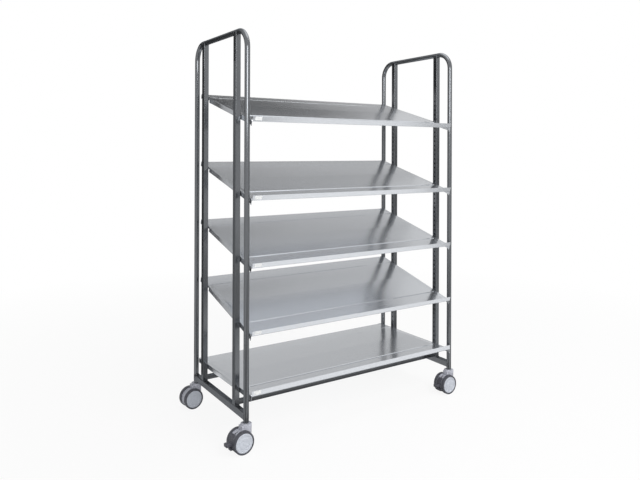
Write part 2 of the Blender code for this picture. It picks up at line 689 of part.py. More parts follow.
def pedal_mesh():
    """A curved lever between the wheels: a tongue on the pin, a wide arc, a tread and a release lug."""
    outline = arc(PEDAL_OUTER_RADIUS, PEDAL_BOTTOM_ANGLE, PEDAL_TOP_ANGLE)
    outline += arc(PEDAL_INNER_RADIUS, PEDAL_TOP_ANGLE, PEDAL_BOTTOM_ANGLE)
    body = blank("pedal", extruded("pedal_arc", outline, PEDAL_WIDTH))

    pin_x, pin_z = about_axle(PEDAL_PIN_RADIUS, PEDAL_PIN_ANGLE)
    boss = bmesh.new()
    add_rod(boss, PEDAL_BOSS_RADIUS, PEDAL_TONGUE, (pin_x, 0, pin_z), (0, 1, 0))
    combine(body, cutter("pedal_boss", as_mesh(boss, "pedal_boss")), "UNION")

    margin = math.degrees(OVERLAP / PEDAL_INNER_RADIUS)
    middle = (PEDAL_INNER_RADIUS + PEDAL_OUTER_RADIUS) / 2
    tongue_bottom = PEDAL_TOP_ANGLE - 2 * margin
    tongue = arc(middle + PEDAL_TONGUE / 2, tongue_bottom, PEDAL_PIN_ANGLE)
    tongue += arc(middle - PEDAL_TONGUE / 2, PEDAL_PIN_ANGLE, tongue_bottom)
    combine(body, cutter("pedal_tongue", extruded("pedal_tongue", tongue, PEDAL_TONGUE - FIT)), "UNION")

    treads = bmesh.new()
    add_lug(treads, PEDAL_TREAD_ANGLE, PEDAL_TREAD_REACH, PEDAL_TREAD_WIDTH, PEDAL_TREAD_HEIGHT)
    add_lug(treads, RELEASE_ANGLE, RELEASE_REACH, RELEASE_WIDTH, RELEASE_HEIGHT)
    combine(body, cutter("pedal_treads", as_mesh(treads, "pedal_treads")), "UNION")

    bore = bmesh.new()
    add_rod(bore, PEDAL_PIN_DIAMETER / 2 + FIT, WHEEL_SPACING, (pin_x, 0, pin_z), (0, 1, 0))
    combine(body, cutter("pedal_bore", as_mesh(bore, "pedal_bore")))
    mesh = finished(body, smooth_angle=SMOOTH_ANGLE)
    mesh.transform(Matrix.Translation((-pin_x, 0, -pin_z)))
    return mesh


def pedal_pin_mesh():
    radius = PEDAL_PIN_DIAMETER / 2 * math.cos(math.pi / PEG_STEPS)
    half = WEB_THICKNESS / 2
    return turned("pedal_pin", [(0, half), (radius, half), (radius, -half), (0, -half)], PEG_STEPS)


def build_casters(root):
    disc = disc_mesh()
    tyre = tyre_mesh()
    axle = axle_mesh()
    stem = stem_mesh()
    pedal = pedal_mesh()
    pedal_pin = pedal_pin_mesh()
    housings = {braked: housing_mesh(braked) for braked in (False, True)}
    pin_x, pin_z = about_axle(PEDAL_PIN_RADIUS, PEDAL_PIN_ANGLE)
    along_y = math.pi / 2
    for word, (side_x, side_y, turn, braked) in CASTERS.items():
        place = (side_x * FRAME_LENGTH / 2, side_y * FRAME_DEPTH / 2, 0)
        swivel = empty(f"{word}_swivel", root, place, (0, 0, math.radians(turn)))
        piece(f"{word}_stem", stem, "plated_steel", root, place)
        piece(f"{word}_housing", housings[braked], "grey_plastic", swivel)
        hub = (-TRAIL, 0, WHEEL_RADIUS)
        piece(f"{word}_axle", axle, "plated_steel", swivel, hub, (along_y, 0, 0))
        for side, which in ((-1, "a"), (1, "b")):
            hub = (-TRAIL, side * WHEEL_SPACING / 2, WHEEL_RADIUS)
            facing = (-side * along_y, 0, 0)
            piece(f"{word}_disc_{which}", disc, "disc_plastic", swivel, hub, facing)
            piece(f"{word}_tyre_{which}", tyre, "tyre_rubber", swivel, hub, facing)
        if braked:
            pin_place = (pin_x, 0, pin_z)
            piece(f"{word}_pedal", pedal, "pedal_plastic", swivel, pin_place)
            piece(f"{word}_pedal_pin", pedal_pin, "plated_steel", swivel, pin_place, (along_y, 0, 0))


def centre_on_floor(root):
    """Put the origin on the floor, under the middle of the whole cart with its casters as they stand."""
    bpy.context.view_layer.update()
    graph = bpy.context.evaluated_depsgraph_get()
    corners = []
    for item in PARTS.objects:
        if item.type == "EMPTY":
            continue
        standing = item.evaluated_get(graph)
        mesh = standing.to_mesh()
        corners += [standing.matrix_world @ vertex.co for vertex in mesh.vertices]
        standing.to_mesh_clear()
    for axis in (0, 1):
        values = [corner[axis] for corner in corners]
        root.location[axis] = -(max(values) + min(values)) / 2
    root.location.z = -min(corner.z for corner in corners)


def main():
    root = empty("book_cart_origin")
    build_frames(root)
    build_shelves(root)
    build_casters(root)
    centre_on_floor(root)


main()
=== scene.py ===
"""Looks of the book cart: painted end frames, galvanised shelves and twin-wheel casters, lit by three soft
lamps in a white studio, with grey cards for the metal to mirror."""

import json
import math

import bmesh
import bpy
from mathutils import Matrix, Vector


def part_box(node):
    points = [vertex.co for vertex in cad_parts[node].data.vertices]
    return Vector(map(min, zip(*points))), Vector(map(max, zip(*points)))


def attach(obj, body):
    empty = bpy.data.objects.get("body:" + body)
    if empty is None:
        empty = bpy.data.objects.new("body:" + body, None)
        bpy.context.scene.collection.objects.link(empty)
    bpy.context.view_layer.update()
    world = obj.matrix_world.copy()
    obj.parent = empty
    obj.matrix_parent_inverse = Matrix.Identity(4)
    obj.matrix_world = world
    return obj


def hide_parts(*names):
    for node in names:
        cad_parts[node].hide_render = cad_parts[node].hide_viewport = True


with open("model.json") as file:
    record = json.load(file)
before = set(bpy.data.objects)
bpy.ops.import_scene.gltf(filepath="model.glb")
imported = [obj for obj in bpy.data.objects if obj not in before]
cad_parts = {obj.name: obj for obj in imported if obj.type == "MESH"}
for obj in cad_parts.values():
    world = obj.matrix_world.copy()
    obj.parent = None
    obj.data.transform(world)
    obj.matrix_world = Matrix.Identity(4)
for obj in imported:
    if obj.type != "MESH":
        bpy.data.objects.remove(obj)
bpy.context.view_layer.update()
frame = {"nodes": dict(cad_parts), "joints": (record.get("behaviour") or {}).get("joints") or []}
JOINTS = {joint["name"]: joint for joint in frame["joints"]}

# Sizes are in metres. X runs along the shelves, Y from front to rear, Z up from the floor.

# Camera: its place is given from the middle of the end frames, and its angles in degrees
PICTURE_WIDTH = 640
PICTURE_HEIGHT = 480
FOCAL_PIXELS = 619.3
HORIZON_ROW = 150.22
CAMERA_PLACE = Vector((-1.8623, -2.7524, 1.3264))
CAMERA_YAW = 33.406
CAMERA_ROLL = 0.211
SENSOR_WIDTH = 36  # millimetres

# End frames
TUBE_WALL = 0.0015
BEND_RADIUS = 0.083
BEND_STEPS = 14
TUBE_RESOLUTION = 8
CORNER_STEPS = 5
BORE_CORNER = 0.8  # walls by which a bore's corner is tighter than the outside's
CUT_PAST = 0.01
SADDLE_STEPS = 64
SADDLE_LENGTH = 0.2
PUNCH_WALLS = 4  # walls that a punch is deep
UPRIGHT_CORNER = 0.0018
BAR_CORNER = 0.0038
HOLE_SIDE = 0.008
HOLE_PITCH = 0.025
HOLES_TO_SPARE = 1  # above the highest peg
WELD_RADIUS = 0.0016
WELD_STEP = 0.0011
WELD_SMOOTH_ANGLE = 80
WELD_SIDES = 8
NO_SADDLE = -1.0  # far below a tube, where nothing is cut
SIDES = ("left", "right")
ENDS = ("front", "rear")

# Shelves
SHEET = 0.001
SHELF_DEPTH = 0.602
SHELF_OVERHANG = 0.1283  # from the pivot studs forward to the front of the lip
PANEL_RISE = 0.011  # from the pivot studs up to the top of the panel
LIP_HEIGHT = 0.019
FLANGE_HEIGHT = 0.022
REAR_FLANGE_HEIGHT = 0.0165
FOLD_RADIUS = 0.002
FOLD_STEPS = 5
CORNER_RELIEF = 0.004
GUTTER_DEPTH = 0.0044
GUTTER_SLOPE = 0.0044
GUTTER_END = 0.011  # from the lip's front to where the panel proper begins
FRONT_LINE = 0.111  # from the lip's front to the step
STEP_HEIGHT = 0.0024
STEP_RUN = 0.0013
CREASE_HEIGHT = 0.0024
CREASE_ROUNDING = 0.003
REAR_STRIP = 0.097
REAR_FALL = 0.0020
GROOVE_PLACE = SHELF_DEPTH - REAR_STRIP
CREASE_PLACE = (FRONT_LINE + GROOVE_PLACE) / 2
GROOVE_WIDTH = 0.0044
GROOVE_DEPTH = 0.0011
GROOVE_ROWS = 6
PRESS_END = 0.013
PRESS_RUN_OUT = 0.013
PRESS_COLUMNS = 6
SPREAD_COLUMNS = 12
NOTCH_FRONT = 0.0067  # free length of the flange notch in front of the peg
NOTCH_REAR = 0.0202
SHELF_GAP = 0.002  # between a hoop and the end of a shelf
PAST_ENDS = 2.1  # times half a shelf, so that a cut passes both of its ends
STUD_HEAD_DIAMETER = 0.012
STUD_HEAD = 0.002
STUD_HEAD_TAPER = 0.75
STUD_REACH = 0.010
PIN_DIAMETER = 0.0074
PIN_CHAMFER = 0.0006
PIN_STEPS = 32
PEG_COLLAR = 0.0014
PEG_TIP_CHAMFER = 0.0008
LABEL_SIZE = (0.0344, 0.0161)
LABEL_INSET = 0.0133
LABEL_CORNER = 0.002
LABEL_THICKNESS = 0.0002

# Casters, about the swivel axis, with the wheels trailing to -X
WHEEL_WIDTH = 0.019
WHEEL_SPACING = 0.053
TYRE_THICKNESS = 0.007
TYRE_WALL = ((0, 0), (0.0022, 0), (0.0028, 0.0005), (0.0034, 0))  # out from the disc, depth below the face
TYRE_SHOULDER = 0.0042
TYRE_STEPS = 96
TREAD_INSET = 0.0002
DISC_FACE = ((0, 0.0004), (0.0085, 0.0004), (0.0095, 0.0014), (0.0105, 0.0010), (0.0235, 0.0010))
DISC_FACE += ((0.0250, 0.0022), (0.0335, 0.0022), (0.0355, 0.0002))  # radius, and depth below the face
DISC_CORNER = 0.0008
RIM_INSET = 0.0002
RIM_CHAMFER = 0.0016
HEAD_RADIUS = 0.02525
HEAD_RISE = 0.0206
HEAD_GROOVE = ((0, 0.0175), (0.0012, 0.0183), (0.0006, 0.0193))  # inset, and depth below the head's top
HEAD_CORNER = 0.0020
SKIRT_INSET = 0.0006
SKIRT_HEIGHT = 0.050
NECK_FRONT = 0.018
NECK_INSET = 0.001
NECK_DROP = 0.004
WEB_THICKNESS = 0.033
WEB_INSET = 0.004
WELL_GAP = 0.0015
WELL_STEPS = 128
STEM_BORE = 0.0058
BORE_PAST = 0.002  # of the stem's bore past the head's top
BORE_STEPS = 48
AXLE_DEPTH = 0.014  # of the axle in each wheel
PLATE_THICKNESS = 0.0012
PLATE_OUT = 0.0025  # of the side plates past the web between them
PLATE_BOTTOM = 62  # degrees below the axle at which the side plates end in a flat
BRAKE_OPENING = (-75, 46)  # degrees about the axle, up from the trailing side
BRAKE_WEB_RADIUS = 0.029
PEDAL_WIDTH = 0.0296
PEDAL_ARC = (-45, 38)
PEDAL_THICKNESS = 0.010
PEDAL_BULGE = 0.0035  # past the rim of the web
PEDAL_LAP = (0.0018, 12)  # clearance of the part that laps over the web, and the degrees it covers
PEDAL_TONGUE = 0.008
TONGUE_ARC = (32, 64)
TONGUE_INSET = 0.001
LUG_ROOT = 0.004  # of a lug inside the pedal
PEDAL_SLOT = 0.0115  # free radius about the pedal's pin
PEDAL_LUGS = ((0, 0.076, 0.026, 0.015), (-30, 0.064, 0.022, 0.010))  # angle, reach, width and height
TURN_STEPS = 72
ARC_STEP = 5
# Radius of their rounded edges
EDGES = {"web": 0.0012, "braked_web": 0.0008, "neck": 0.001, "plate": 0.0004}
EDGES |= {"pedal": 0.0015, "lug": 0.0022, "tongue": 0.001}

# Studio
AMBIENT = 0.30
FLOOR_SIZE = 60
FLOOR_GREY = 0.86
FLOOR_WHITE = 0.90  # share of plain white in the floor near the cart; the rest takes shadows
FLOOR_NEAR = 1.1  # from here outwards that share grows, to the whole of the floor at the far distance
FLOOR_FAR = 3.9

CLEARANCE = 0.0003
ACROSS = (0, 1, 0)
UP = (0, 0, 1)
SMOOTH_ANGLE = 32  # degrees between faces that still shade as one surface
SOFTEN_ANGLE = 35  # degrees from which an edge gets rounded
WELD_DISTANCE = 0.00002
CORNER_SHARE = 0.45  # of a side that a rounded corner may take up


def middle(node):
    lowest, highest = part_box(node)
    return (lowest + highest) / 2


def extent(node):
    lowest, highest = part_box(node)
    return highest - lowest


# Places read from the frame
TUBE_RADIUS = extent("left_hoop").x / 2
FRAME_X = {word: middle(f"{word}_hoop").x for word in SIDES}
LEG_Y = {
    "front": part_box("left_hoop")[0].y + TUBE_RADIUS,
    "rear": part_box("left_hoop")[1].y - TUBE_RADIUS,
}
UPRIGHT_Y = {word: middle(f"{word}_left_upright").y for word in ENDS}
FRAME_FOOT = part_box("left_hoop")[0].z
HANDLE_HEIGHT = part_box("left_hoop")[1].z - TUBE_RADIUS
RAIL_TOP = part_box("left_rail")[1].z
FRAME_MIDDLE = Vector(((FRAME_X["left"] + FRAME_X["right"]) / 2, (LEG_Y["front"] + LEG_Y["rear"]) / 2, 0))
WHEEL_RADIUS = JOINTS["front_left_wheel_a_spin"]["pos_m"][2]
CASTER_WORDS = ("front_left", "rear_left", "front_right", "rear_right")
BRAKED = ("front_left", "front_right")
SHELF_NUMBERS = (1, 2, 3, 4, 5)
HEAD_TOP = 2 * WHEEL_RADIUS + HEAD_RISE
AXLE_BORE = extent("front_left_axle").z / 2 + 2 * CLEARANCE


# Node trees


def operator(operation, reflected=False):
    """A method that adds a Math node to a socket's tree."""

    def method(self, other):
        first, second = (other, self) if reflected else (self, other)
        return self.tree.node("ShaderNodeMath", {"operation": operation}, {0: first, 1: second})

    return method


class Socket:
    """An output of a node. Arithmetic on it adds Math nodes to its tree."""

    def __init__(self, tree, output):
        self.tree = tree
        self.output = output

    __add__, __radd__ = operator("ADD"), operator("ADD", True)
    __sub__, __rsub__ = operator("SUBTRACT"), operator("SUBTRACT", True)
    __mul__, __rmul__ = operator("MULTIPLY"), operator("MULTIPLY", True)
    __truediv__ = operator("DIVIDE")


class Tree:
    """A node tree in which each node is made with its settings first and then its sockets."""

    def __init__(self, nodes):
        self.nodes = nodes
        self.nodes.nodes.clear()

    def node(self, kind, settings=None, sockets=None, output=0):
        made = self.nodes.nodes.new(kind)
        for name, value in (settings or {}).items():
            if name == "stops":
                self.set_stops(made.color_ramp, value)
            else:
                setattr(made, name, value)
        for name, value in (sockets or {}).items():
            self.connect(value, made.inputs[name])
        return Socket(self, made.outputs[output]) if made.outputs else made

    def vector(self, **parts):
        return self.node("ShaderNodeCombineXYZ", {}, parts)

    def set_stops(self, ramp, stops):
        while len(ramp.elements) < len(stops):
            ramp.elements.new(0.5)
        for element, (place, grey) in zip(ramp.elements, stops):
            element.position = place
            element.color = (grey, grey, grey, 1)

    def connect(self, value, target):
        if isinstance(value, Socket):
            self.nodes.links.new(value.output, target)
        else:
            target.default_value = value


class Finish(Tree):
    """A material's tree, with the patterns that the finishes share."""

    def __init__(self, name):
        self.material = bpy.data.materials.new(name)
        self.material.use_nodes = True
        super().__init__(self.material.node_tree)
        self.place = self.node("ShaderNodeTexCoord", output=3)

    def stretched(self, scale):
        return self.node("ShaderNodeMapping", {}, {"Vector": self.place, "Scale": scale})

    def noise(self, scale, detail=3.0, roughness=0.5, vector=None):
        sockets = {"Vector": vector or self.place, "Scale": scale, "Detail": detail, "Roughness": roughness}
        return self.node("ShaderNodeTexNoise", {}, sockets)

    def cells(self, scale):
        return self.node("ShaderNodeTexVoronoi", {}, {"Vector": self.place, "Scale": scale}, output=1)

    def grey(self, colour):
        return self.node("ShaderNodeRGBToBW", {}, {0: colour})

    def ramp(self, value, stops):
        return self.node("ShaderNodeValToRGB", {"stops": stops}, {0: value})

    def blend(self, factor, first, second):
        sockets = {0: factor, 6: (*first, 1) if isinstance(first, tuple) else first}
        sockets[7] = (*second, 1) if isinstance(second, tuple) else second
        return self.node("ShaderNodeMix", {"data_type": "RGBA"}, sockets, output=2)

    def bump(self, height, strength, distance):
        sockets = {"Height": height, "Strength": strength, "Distance": distance}
        return self.node("ShaderNodeBump", {}, sockets)

    def ended(self, shader):
        self.node("ShaderNodeOutputMaterial", {}, {"Surface": shader})
        return self.material

    def surface(self, **sockets):
        named = {name.replace("_", " "): value for name, value in sockets.items()}
        return self.ended(self.node("ShaderNodeBsdfPrincipled", {}, named))


# Finishes


def painted_steel():
    """Anthracite metallic paint with a fine flake, faintly rippled as sprayed paint is."""
    finish = Finish("painted_steel")
    clouds = finish.noise(9.0, 4.0)
    flakes = finish.cells(2600.0)
    tone = finish.blend(clouds, (0.134, 0.141, 0.150), (0.150, 0.157, 0.166))
    colour = finish.blend(finish.grey(flakes) * 0.06, tone, (0.22, 0.23, 0.24))
    ripple = finish.noise(24.0, 2.0)
    dust = finish.noise(14.0, 4.0, 0.55)
    return finish.surface(
        Base_Color=colour,
        Metallic=0.85,
        Roughness=0.14 + 0.05 * dust,
        Specular_Tint=(0.45, 0.46, 0.48, 1),
        Coat_Weight=0.08,
        Coat_Roughness=0.06,
        Normal=finish.bump(ripple, 0.02, 0.0006),
    )


def galvanised_sheet():
    """Zinc-coated sheet: soft crystal spangle, faint rolling streaks along X and small rubbed patches."""
    finish = Finish("galvanised_sheet")
    spangle = finish.grey(finish.cells(95.0))
    fine_spangle = finish.grey(finish.cells(260.0))
    streaks = finish.noise(1.0, 4.0, 0.55, finish.stretched((3.0, 240.0, 240.0)))
    rubbed = finish.noise(7.0, 5.0, 0.6)
    crystal = 0.6 * spangle + 0.4 * fine_spangle
    tone = finish.blend(crystal, (0.605, 0.628, 0.664), (0.668, 0.690, 0.724))
    tone = finish.blend(0.5 * streaks, tone, (0.70, 0.72, 0.75))
    grain = finish.noise(900.0, 2.0)
    return finish.surface(
        Base_Color=tone,
        Metallic=0.92,
        Roughness=0.16 + 0.03 * crystal + 0.04 * rubbed + 0.03 * streaks,
        Normal=finish.bump(0.7 * streaks + 0.3 * grain, 0.04, 0.0004),
    )


def plated_steel():
    finish = Finish("plated_steel")
    turned_lines = finish.noise(1.0, 3.0, 0.5, finish.stretched((900.0, 40.0, 40.0)))
    stain = finish.noise(120.0, 4.0)
    return finish.surface(
        Base_Color=finish.blend(stain, (0.50, 0.50, 0.51), (0.62, 0.62, 0.61)),
        Metallic=1.0,
        Roughness=0.22 + 0.14 * stain,
        Normal=finish.bump(turned_lines, 0.08, 0.0002),
    )


def moulded_plastic(name, dark, light, roughness):
    """Injection-moulded plastic with a fine spark-eroded grain and slight clouding."""
    finish = Finish(name)
    cloud = finish.noise(38.0, 4.0)
    grain = finish.noise(1400.0, 2.0, 0.6)
    return finish.surface(
        Base_Color=finish.blend(cloud, dark, light),
        Roughness=roughness - 0.05 + 0.14 * grain,
        Normal=finish.bump(grain, 0.16, 0.0002),
    )


def tyre_rubber():
    """Grey tread rubber, matt, scuffed a little lighter in patches."""
    finish = Finish("tyre_rubber")
    scuff = finish.ramp(finish.noise(75.0, 6.0, 0.65), ((0.42, 0.0), (0.72, 1.0)))
    grain = finish.noise(1100.0, 3.0, 0.6)
    return finish.surface(
        Base_Color=finish.blend(0.35 * finish.grey(scuff), (0.076, 0.078, 0.094), (0.140, 0.143, 0.158)),
        Roughness=0.55 + 0.20 * grain,
        Normal=finish.bump(grain, 0.22, 0.0003),
    )


def label_paper():
    """Blank white label with a faint fibre."""
    finish = Finish("label_paper")
    fibre = finish.noise(1.0, 3.0, 0.5, finish.stretched((400.0, 1500.0, 1500.0)))
    return finish.surface(
        Base_Color=finish.blend(fibre, (0.74, 0.75, 0.75), (0.80, 0.81, 0.81)),
        Roughness=0.38 + 0.10 * fibre,
        Normal=finish.bump(fibre, 0.05, 0.0001),
    )


FINISHES = {
    "painted_steel": painted_steel(),
    "galvanised_sheet": galvanised_sheet(),
    "plated_steel": plated_steel(),
    "grey_plastic": moulded_plastic("grey_plastic", (0.47, 0.48, 0.54), (0.53, 0.54, 0.60), 0.42),
    "disc_plastic": moulded_plastic("disc_plastic", (0.55, 0.58, 0.64), (0.61, 0.64, 0.70), 0.38),
    "pedal_plastic": moulded_plastic("pedal_plastic", (0.066, 0.066, 0.082), (0.088, 0.088, 0.106), 0.45),
    "tyre_rubber": tyre_rubber(),
    "label_paper": label_paper(),
}


# Making pieces


def add_object(name, data):
    made = bpy.data.objects.new(name, data)
    bpy.context.scene.collection.objects.link(made)
    return made


def as_mesh(shape, name):
    mesh = bpy.data.meshes.new(name)
    shape.to_mesh(mesh)
    shape.free()
    return mesh


def finished(source):
    """The mesh of an object with its modifiers carried out. The object itself is removed."""
    bpy.context.view_layer.update()
    graph = bpy.context.evaluated_depsgraph_get()
    mesh = bpy.data.meshes.new_from_object(source.evaluated_get(graph))
    bpy.data.objects.remove(source)
    return mesh


def smoothed(mesh, angle=SMOOTH_ANGLE):
    mesh.shade_smooth()
    mesh.set_sharp_from_angle(angle=math.radians(angle))
    return mesh


def modify(source, kind, **settings):
    """Add a modifier to an object."""
    step = source.modifiers.new(kind.lower(), kind)
    for name, value in settings.items():
        setattr(step, name, value)


def combine(body, tool, operation="DIFFERENCE"):
    """Cut a tool's mesh out of an object, or join it on."""
    tool_object = add_object("tool", tool)
    modify(body, "BOOLEAN", object=tool_object, operation=operation)
    name = body.name
    mesh = finished(body)
    bpy.data.objects.remove(tool_object)
    return add_object(name, mesh)


def weighted(mesh):
    """Keep broad faces flat in the shading beside their rounded edges."""
    source = add_object("weighted", mesh)
    smoothed(mesh)
    modify(source, "WEIGHTED_NORMAL", keep_sharp=True)
    return finished(source)


def piece(name, mesh, finish, body, replaced=()):
    """A finished piece of the cart on the body that carries it."""
    mesh.materials.clear()
    mesh.materials.append(FINISHES[finish])
    mesh.name = name
    made = add_object(name, mesh)
    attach(made, body)
    if replaced:
        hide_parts(*replaced)


def shift(place):
    return Matrix.Translation(place)


def spin(angle, axis):
    return Matrix.Rotation(angle, 4, axis)


def moved(mesh, matrix):
    copy = mesh.copy()
    copy.transform(matrix)
    return copy


def block(size, centre):
    shape = bmesh.new()
    place = shift(centre) @ Matrix.Diagonal((*size, 1))
    bmesh.ops.create_cube(shape, size=1, matrix=place)
    return as_mesh(shape, "block")


def add_rod(shape, radius, length, centre, axis, steps=BORE_STEPS):
    turn = Vector(UP).rotation_difference(Vector(axis)).to_matrix().to_4x4()
    sizes = {"segments": steps, "radius1": radius, "radius2": radius, "depth": length}
    bmesh.ops.create_cone(shape, cap_ends=True, matrix=shift(centre) @ turn, **sizes)


def rectangle(half_width, half_height):
    signs = ((-1, -1), (1, -1), (1, 1), (-1, 1))
    return [(x * half_width, y * half_height) for x, y in signs]


def rounded(corners, radius, steps=4, closed=False):
    """A polyline of 2D points with each inner corner replaced by an arc, as wide as its sides allow."""
    points = [Vector(corner) for corner in corners]
    count = len(points)
    made = []
    for index, point in enumerate(points):
        if not closed and index in (0, count - 1):
            made.append(point)
            continue
        before = points[index - 1] - point
        after = points[(index + 1) % count] - point
        turn = before.angle(after)
        longest = CORNER_SHARE * min(before.length, after.length)
        reach = min(radius / math.tan(turn / 2), longest)
        start, end = point + before.normalized() * reach, point + after.normalized() * reach
        for step in range(steps + 1):
            share = step / steps
            made.append(start * (1 - share) ** 2 + point * (2 * share * (1 - share)) + end * share**2)
    return made


def turned(profile, steps=TURN_STEPS, ring=False):
    """A profile of radius and height pairs turned about Z. A ring's profile closes on itself."""
    shape = bmesh.new()
    points = [shape.verts.new((radius, 0, height)) for radius, height in profile]
    pairs = list(zip(points, points[1:]))
    if ring:
        pairs.append((points[-1], points[0]))
    edges = [shape.edges.new(pair) for pair in pairs]
    bmesh.ops.spin(shape, geom=points + edges, axis=(0, 0, 1), cent=(0, 0, 0), steps=steps, angle=2 * math.pi)
    bmesh.ops.remove_doubles(shape, verts=shape.verts, dist=1e-6)
    bmesh.ops.recalc_face_normals(shape, faces=shape.faces)
    return smoothed(as_mesh(shape, "turned"))


def slab(outline, thickness):
    """A closed outline of X and Z pairs standing upright, as thick as given along Y."""
    shape = bmesh.new()
    face = shape.faces.new([shape.verts.new((x, -thickness / 2, z)) for x, z in outline])
    grown = bmesh.ops.extrude_face_region(shape, geom=[face])["geom"]
    corners = [part for part in grown if isinstance(part, bmesh.types.BMVert)]
    bmesh.ops.translate(shape, verts=corners, vec=(0, thickness, 0))
    bmesh.ops.recalc_face_normals(shape, faces=shape.faces)
    return as_mesh(shape, "slab")


def softened(mesh, width, segments=3):
    """A mesh with its sharp edges rounded."""
    source = add_object("softened", mesh)
    modify(source, "WELD", merge_threshold=WELD_DISTANCE)
    limit = {"limit_method": "ANGLE", "angle_limit": math.radians(SOFTEN_ANGLE)}
    modify(source, "BEVEL", width=width, segments=segments, **limit)
    return smoothed(finished(source))


# Box-section tubes, punched and coped by a node tree


def new_group(name, inputs, output):
    """A geometry tree with inputs named by their kind of socket, and those inputs by name."""
    group = bpy.data.node_groups.new(name, "GeometryNodeTree")
    tree = Tree(group)
    for kind, labels in inputs.items():
        for label in labels:
            group.interface.new_socket(label, in_out="INPUT", socket_type=f"NodeSocket{kind}")
    group.interface.new_socket(output, in_out="OUTPUT", socket_type="NodeSocketGeometry")
    outputs = group.nodes.new("NodeGroupInput").outputs
    return tree, {socket.name: Socket(tree, socket) for socket in outputs if socket.name}


def end_group(tree, given, output, shape):
    """Give a tree's shape its finish and send it out."""
    shape = tree.node("GeometryNodeRealizeInstances", {}, {0: shape})
    sockets = {"Geometry": shape, "Material": given["Finish"]}
    tree.node("NodeGroupOutput", {}, {output: tree.node("GeometryNodeSetMaterial", {}, sockets)})
    return tree.nodes


def section_tree():
    """Node tree of a rounded box-section tube along Z, punched in its +X face and coped to round tubes."""
    sizes = ("Length", "Width", "Depth", "Corner", "Wall", "Hole Side", "Hole Pitch", "First Hole")
    sizes += ("Saddle Radius", "Near Saddle", "Far Saddle")
    inputs = {"Float": sizes, "Int": ("Holes",), "Material": ("Finish",)}
    tree, given = new_group("section_tube", inputs, "Tube")

    def section(width, depth, corner, bottom, top):
        outline = tree.node("GeometryNodeCurvePrimitiveQuadrilateral", {}, {"Width": width, "Height": depth})
        sockets = {"Curve": outline, "Radius": corner, "Count": CORNER_STEPS, "Limit Radius": True}
        outline = tree.node("GeometryNodeFilletCurve", {"mode": "POLY"}, sockets)
        sockets = {"Start": tree.vector(Z=bottom), "End": tree.vector(Z=top)}
        line = tree.node("GeometryNodeCurvePrimitiveLine", {}, sockets)
        sockets = {"Curve": line, "Profile Curve": outline, "Fill Caps": True}
        return tree.node("GeometryNodeCurveToMesh", {}, sockets)

    wall, width, depth, length = (given[name] for name in ("Wall", "Width", "Depth", "Length"))
    outside = section(width, depth, given["Corner"], 0.0, length)
    corner = given["Corner"] - BORE_CORNER * wall
    bore = section(width - 2 * wall, depth - 2 * wall, corner, -CUT_PAST, length + CUT_PAST)

    first = tree.vector(X=width / 2, Z=given["First Hole"])
    pitch = tree.vector(Z=given["Hole Pitch"])
    sockets = {"Count": given["Holes"], "Start Location": first, "Offset": pitch}
    column = tree.node("GeometryNodeMeshLine", {}, sockets)
    size = tree.vector(X=PUNCH_WALLS * wall, Y=given["Hole Side"], Z=given["Hole Side"])
    punch = tree.node("GeometryNodeMeshCube", {}, {"Size": size})
    punches = tree.node("GeometryNodeInstanceOnPoints", {}, {"Points": column, "Instance": punch})
    punches = tree.node("GeometryNodeRealizeInstances", {}, {0: punches})

    sockets = {"Vertices": SADDLE_STEPS, "Radius": given["Saddle Radius"], "Depth": SADDLE_LENGTH}
    leg = tree.node("GeometryNodeMeshCylinder", {}, sockets)
    saddles = []
    for end in ("Near Saddle", "Far Saddle"):
        place = tree.vector(Z=given[end])
        sockets = {"Geometry": leg, "Translation": place, "Rotation": (math.pi / 2, 0, 0)}
        saddles.append(tree.node("GeometryNodeTransform", {}, sockets))

    tube = outside
    for cut in (bore, punches, *saddles):
        sockets = {"Mesh 1": tube, "Mesh 2": cut}
        tube = tree.node("GeometryNodeMeshBoolean", {"operation": "DIFFERENCE", "solver": "EXACT"}, sockets)
    return end_group(tree, given, "Tube", tube)


def from_tree(group, values, base=None):
    """The mesh that a node tree makes from its named inputs."""
    source = add_object(group.name, base or bpy.data.meshes.new(group.name))
    step = source.modifiers.new("tree", "NODES")
    step.node_group = group
    for item in group.interface.items_tree:
        if item.in_out == "INPUT" and item.name in values:
            step[item.identifier] = values[item.name]
    return finished(source)


def section_tube(group, length, width, depth, corner, **options):
    values = {"Length": length, "Width": width, "Depth": depth, "Corner": corner, "Wall": TUBE_WALL}
    values |= {"Hole Side": HOLE_SIDE, "Hole Pitch": HOLE_PITCH, "First Hole": 0.0, "Holes": 0}
    values |= {"Saddle Radius": TUBE_RADIUS + CLEARANCE, "Near Saddle": NO_SADDLE, "Far Saddle": NO_SADDLE}
    values |= {name.replace("_", " ").title(): value for name, value in options.items()}
    return weighted(from_tree(group, {**values, "Finish": FINISHES["painted_steel"]}))


def make_uprights(group):
    """Four punched tubes that stand on the rails, coped under the handles."""
    low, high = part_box("front_left_upright")
    lowest_hole = middle("left_peg_1").z - HOLE_PITCH
    highest_peg = middle(f"left_peg_{SHELF_NUMBERS[-1]}").z
    holes = 1 + round((highest_peg - lowest_hole) / HOLE_PITCH) + HOLES_TO_SPARE
    size = (high.z - low.z, high.x - low.x, high.y - low.y)
    options = {"first_hole": lowest_hole - low.z, "holes": holes, "far_saddle": HANDLE_HEIGHT - low.z}
    tube = section_tube(group, *size, UPRIGHT_CORNER, **options)
    for side in SIDES:
        facing = spin(0 if side == "left" else math.pi, "Z")
        for end in ENDS:
            place = shift((FRAME_X[side], UPRIGHT_Y[end], low.z))
            node = f"{end}_{side}_upright"
            piece(f"{node}_tube", moved(tube, place @ facing), "painted_steel", "frame", (node,))


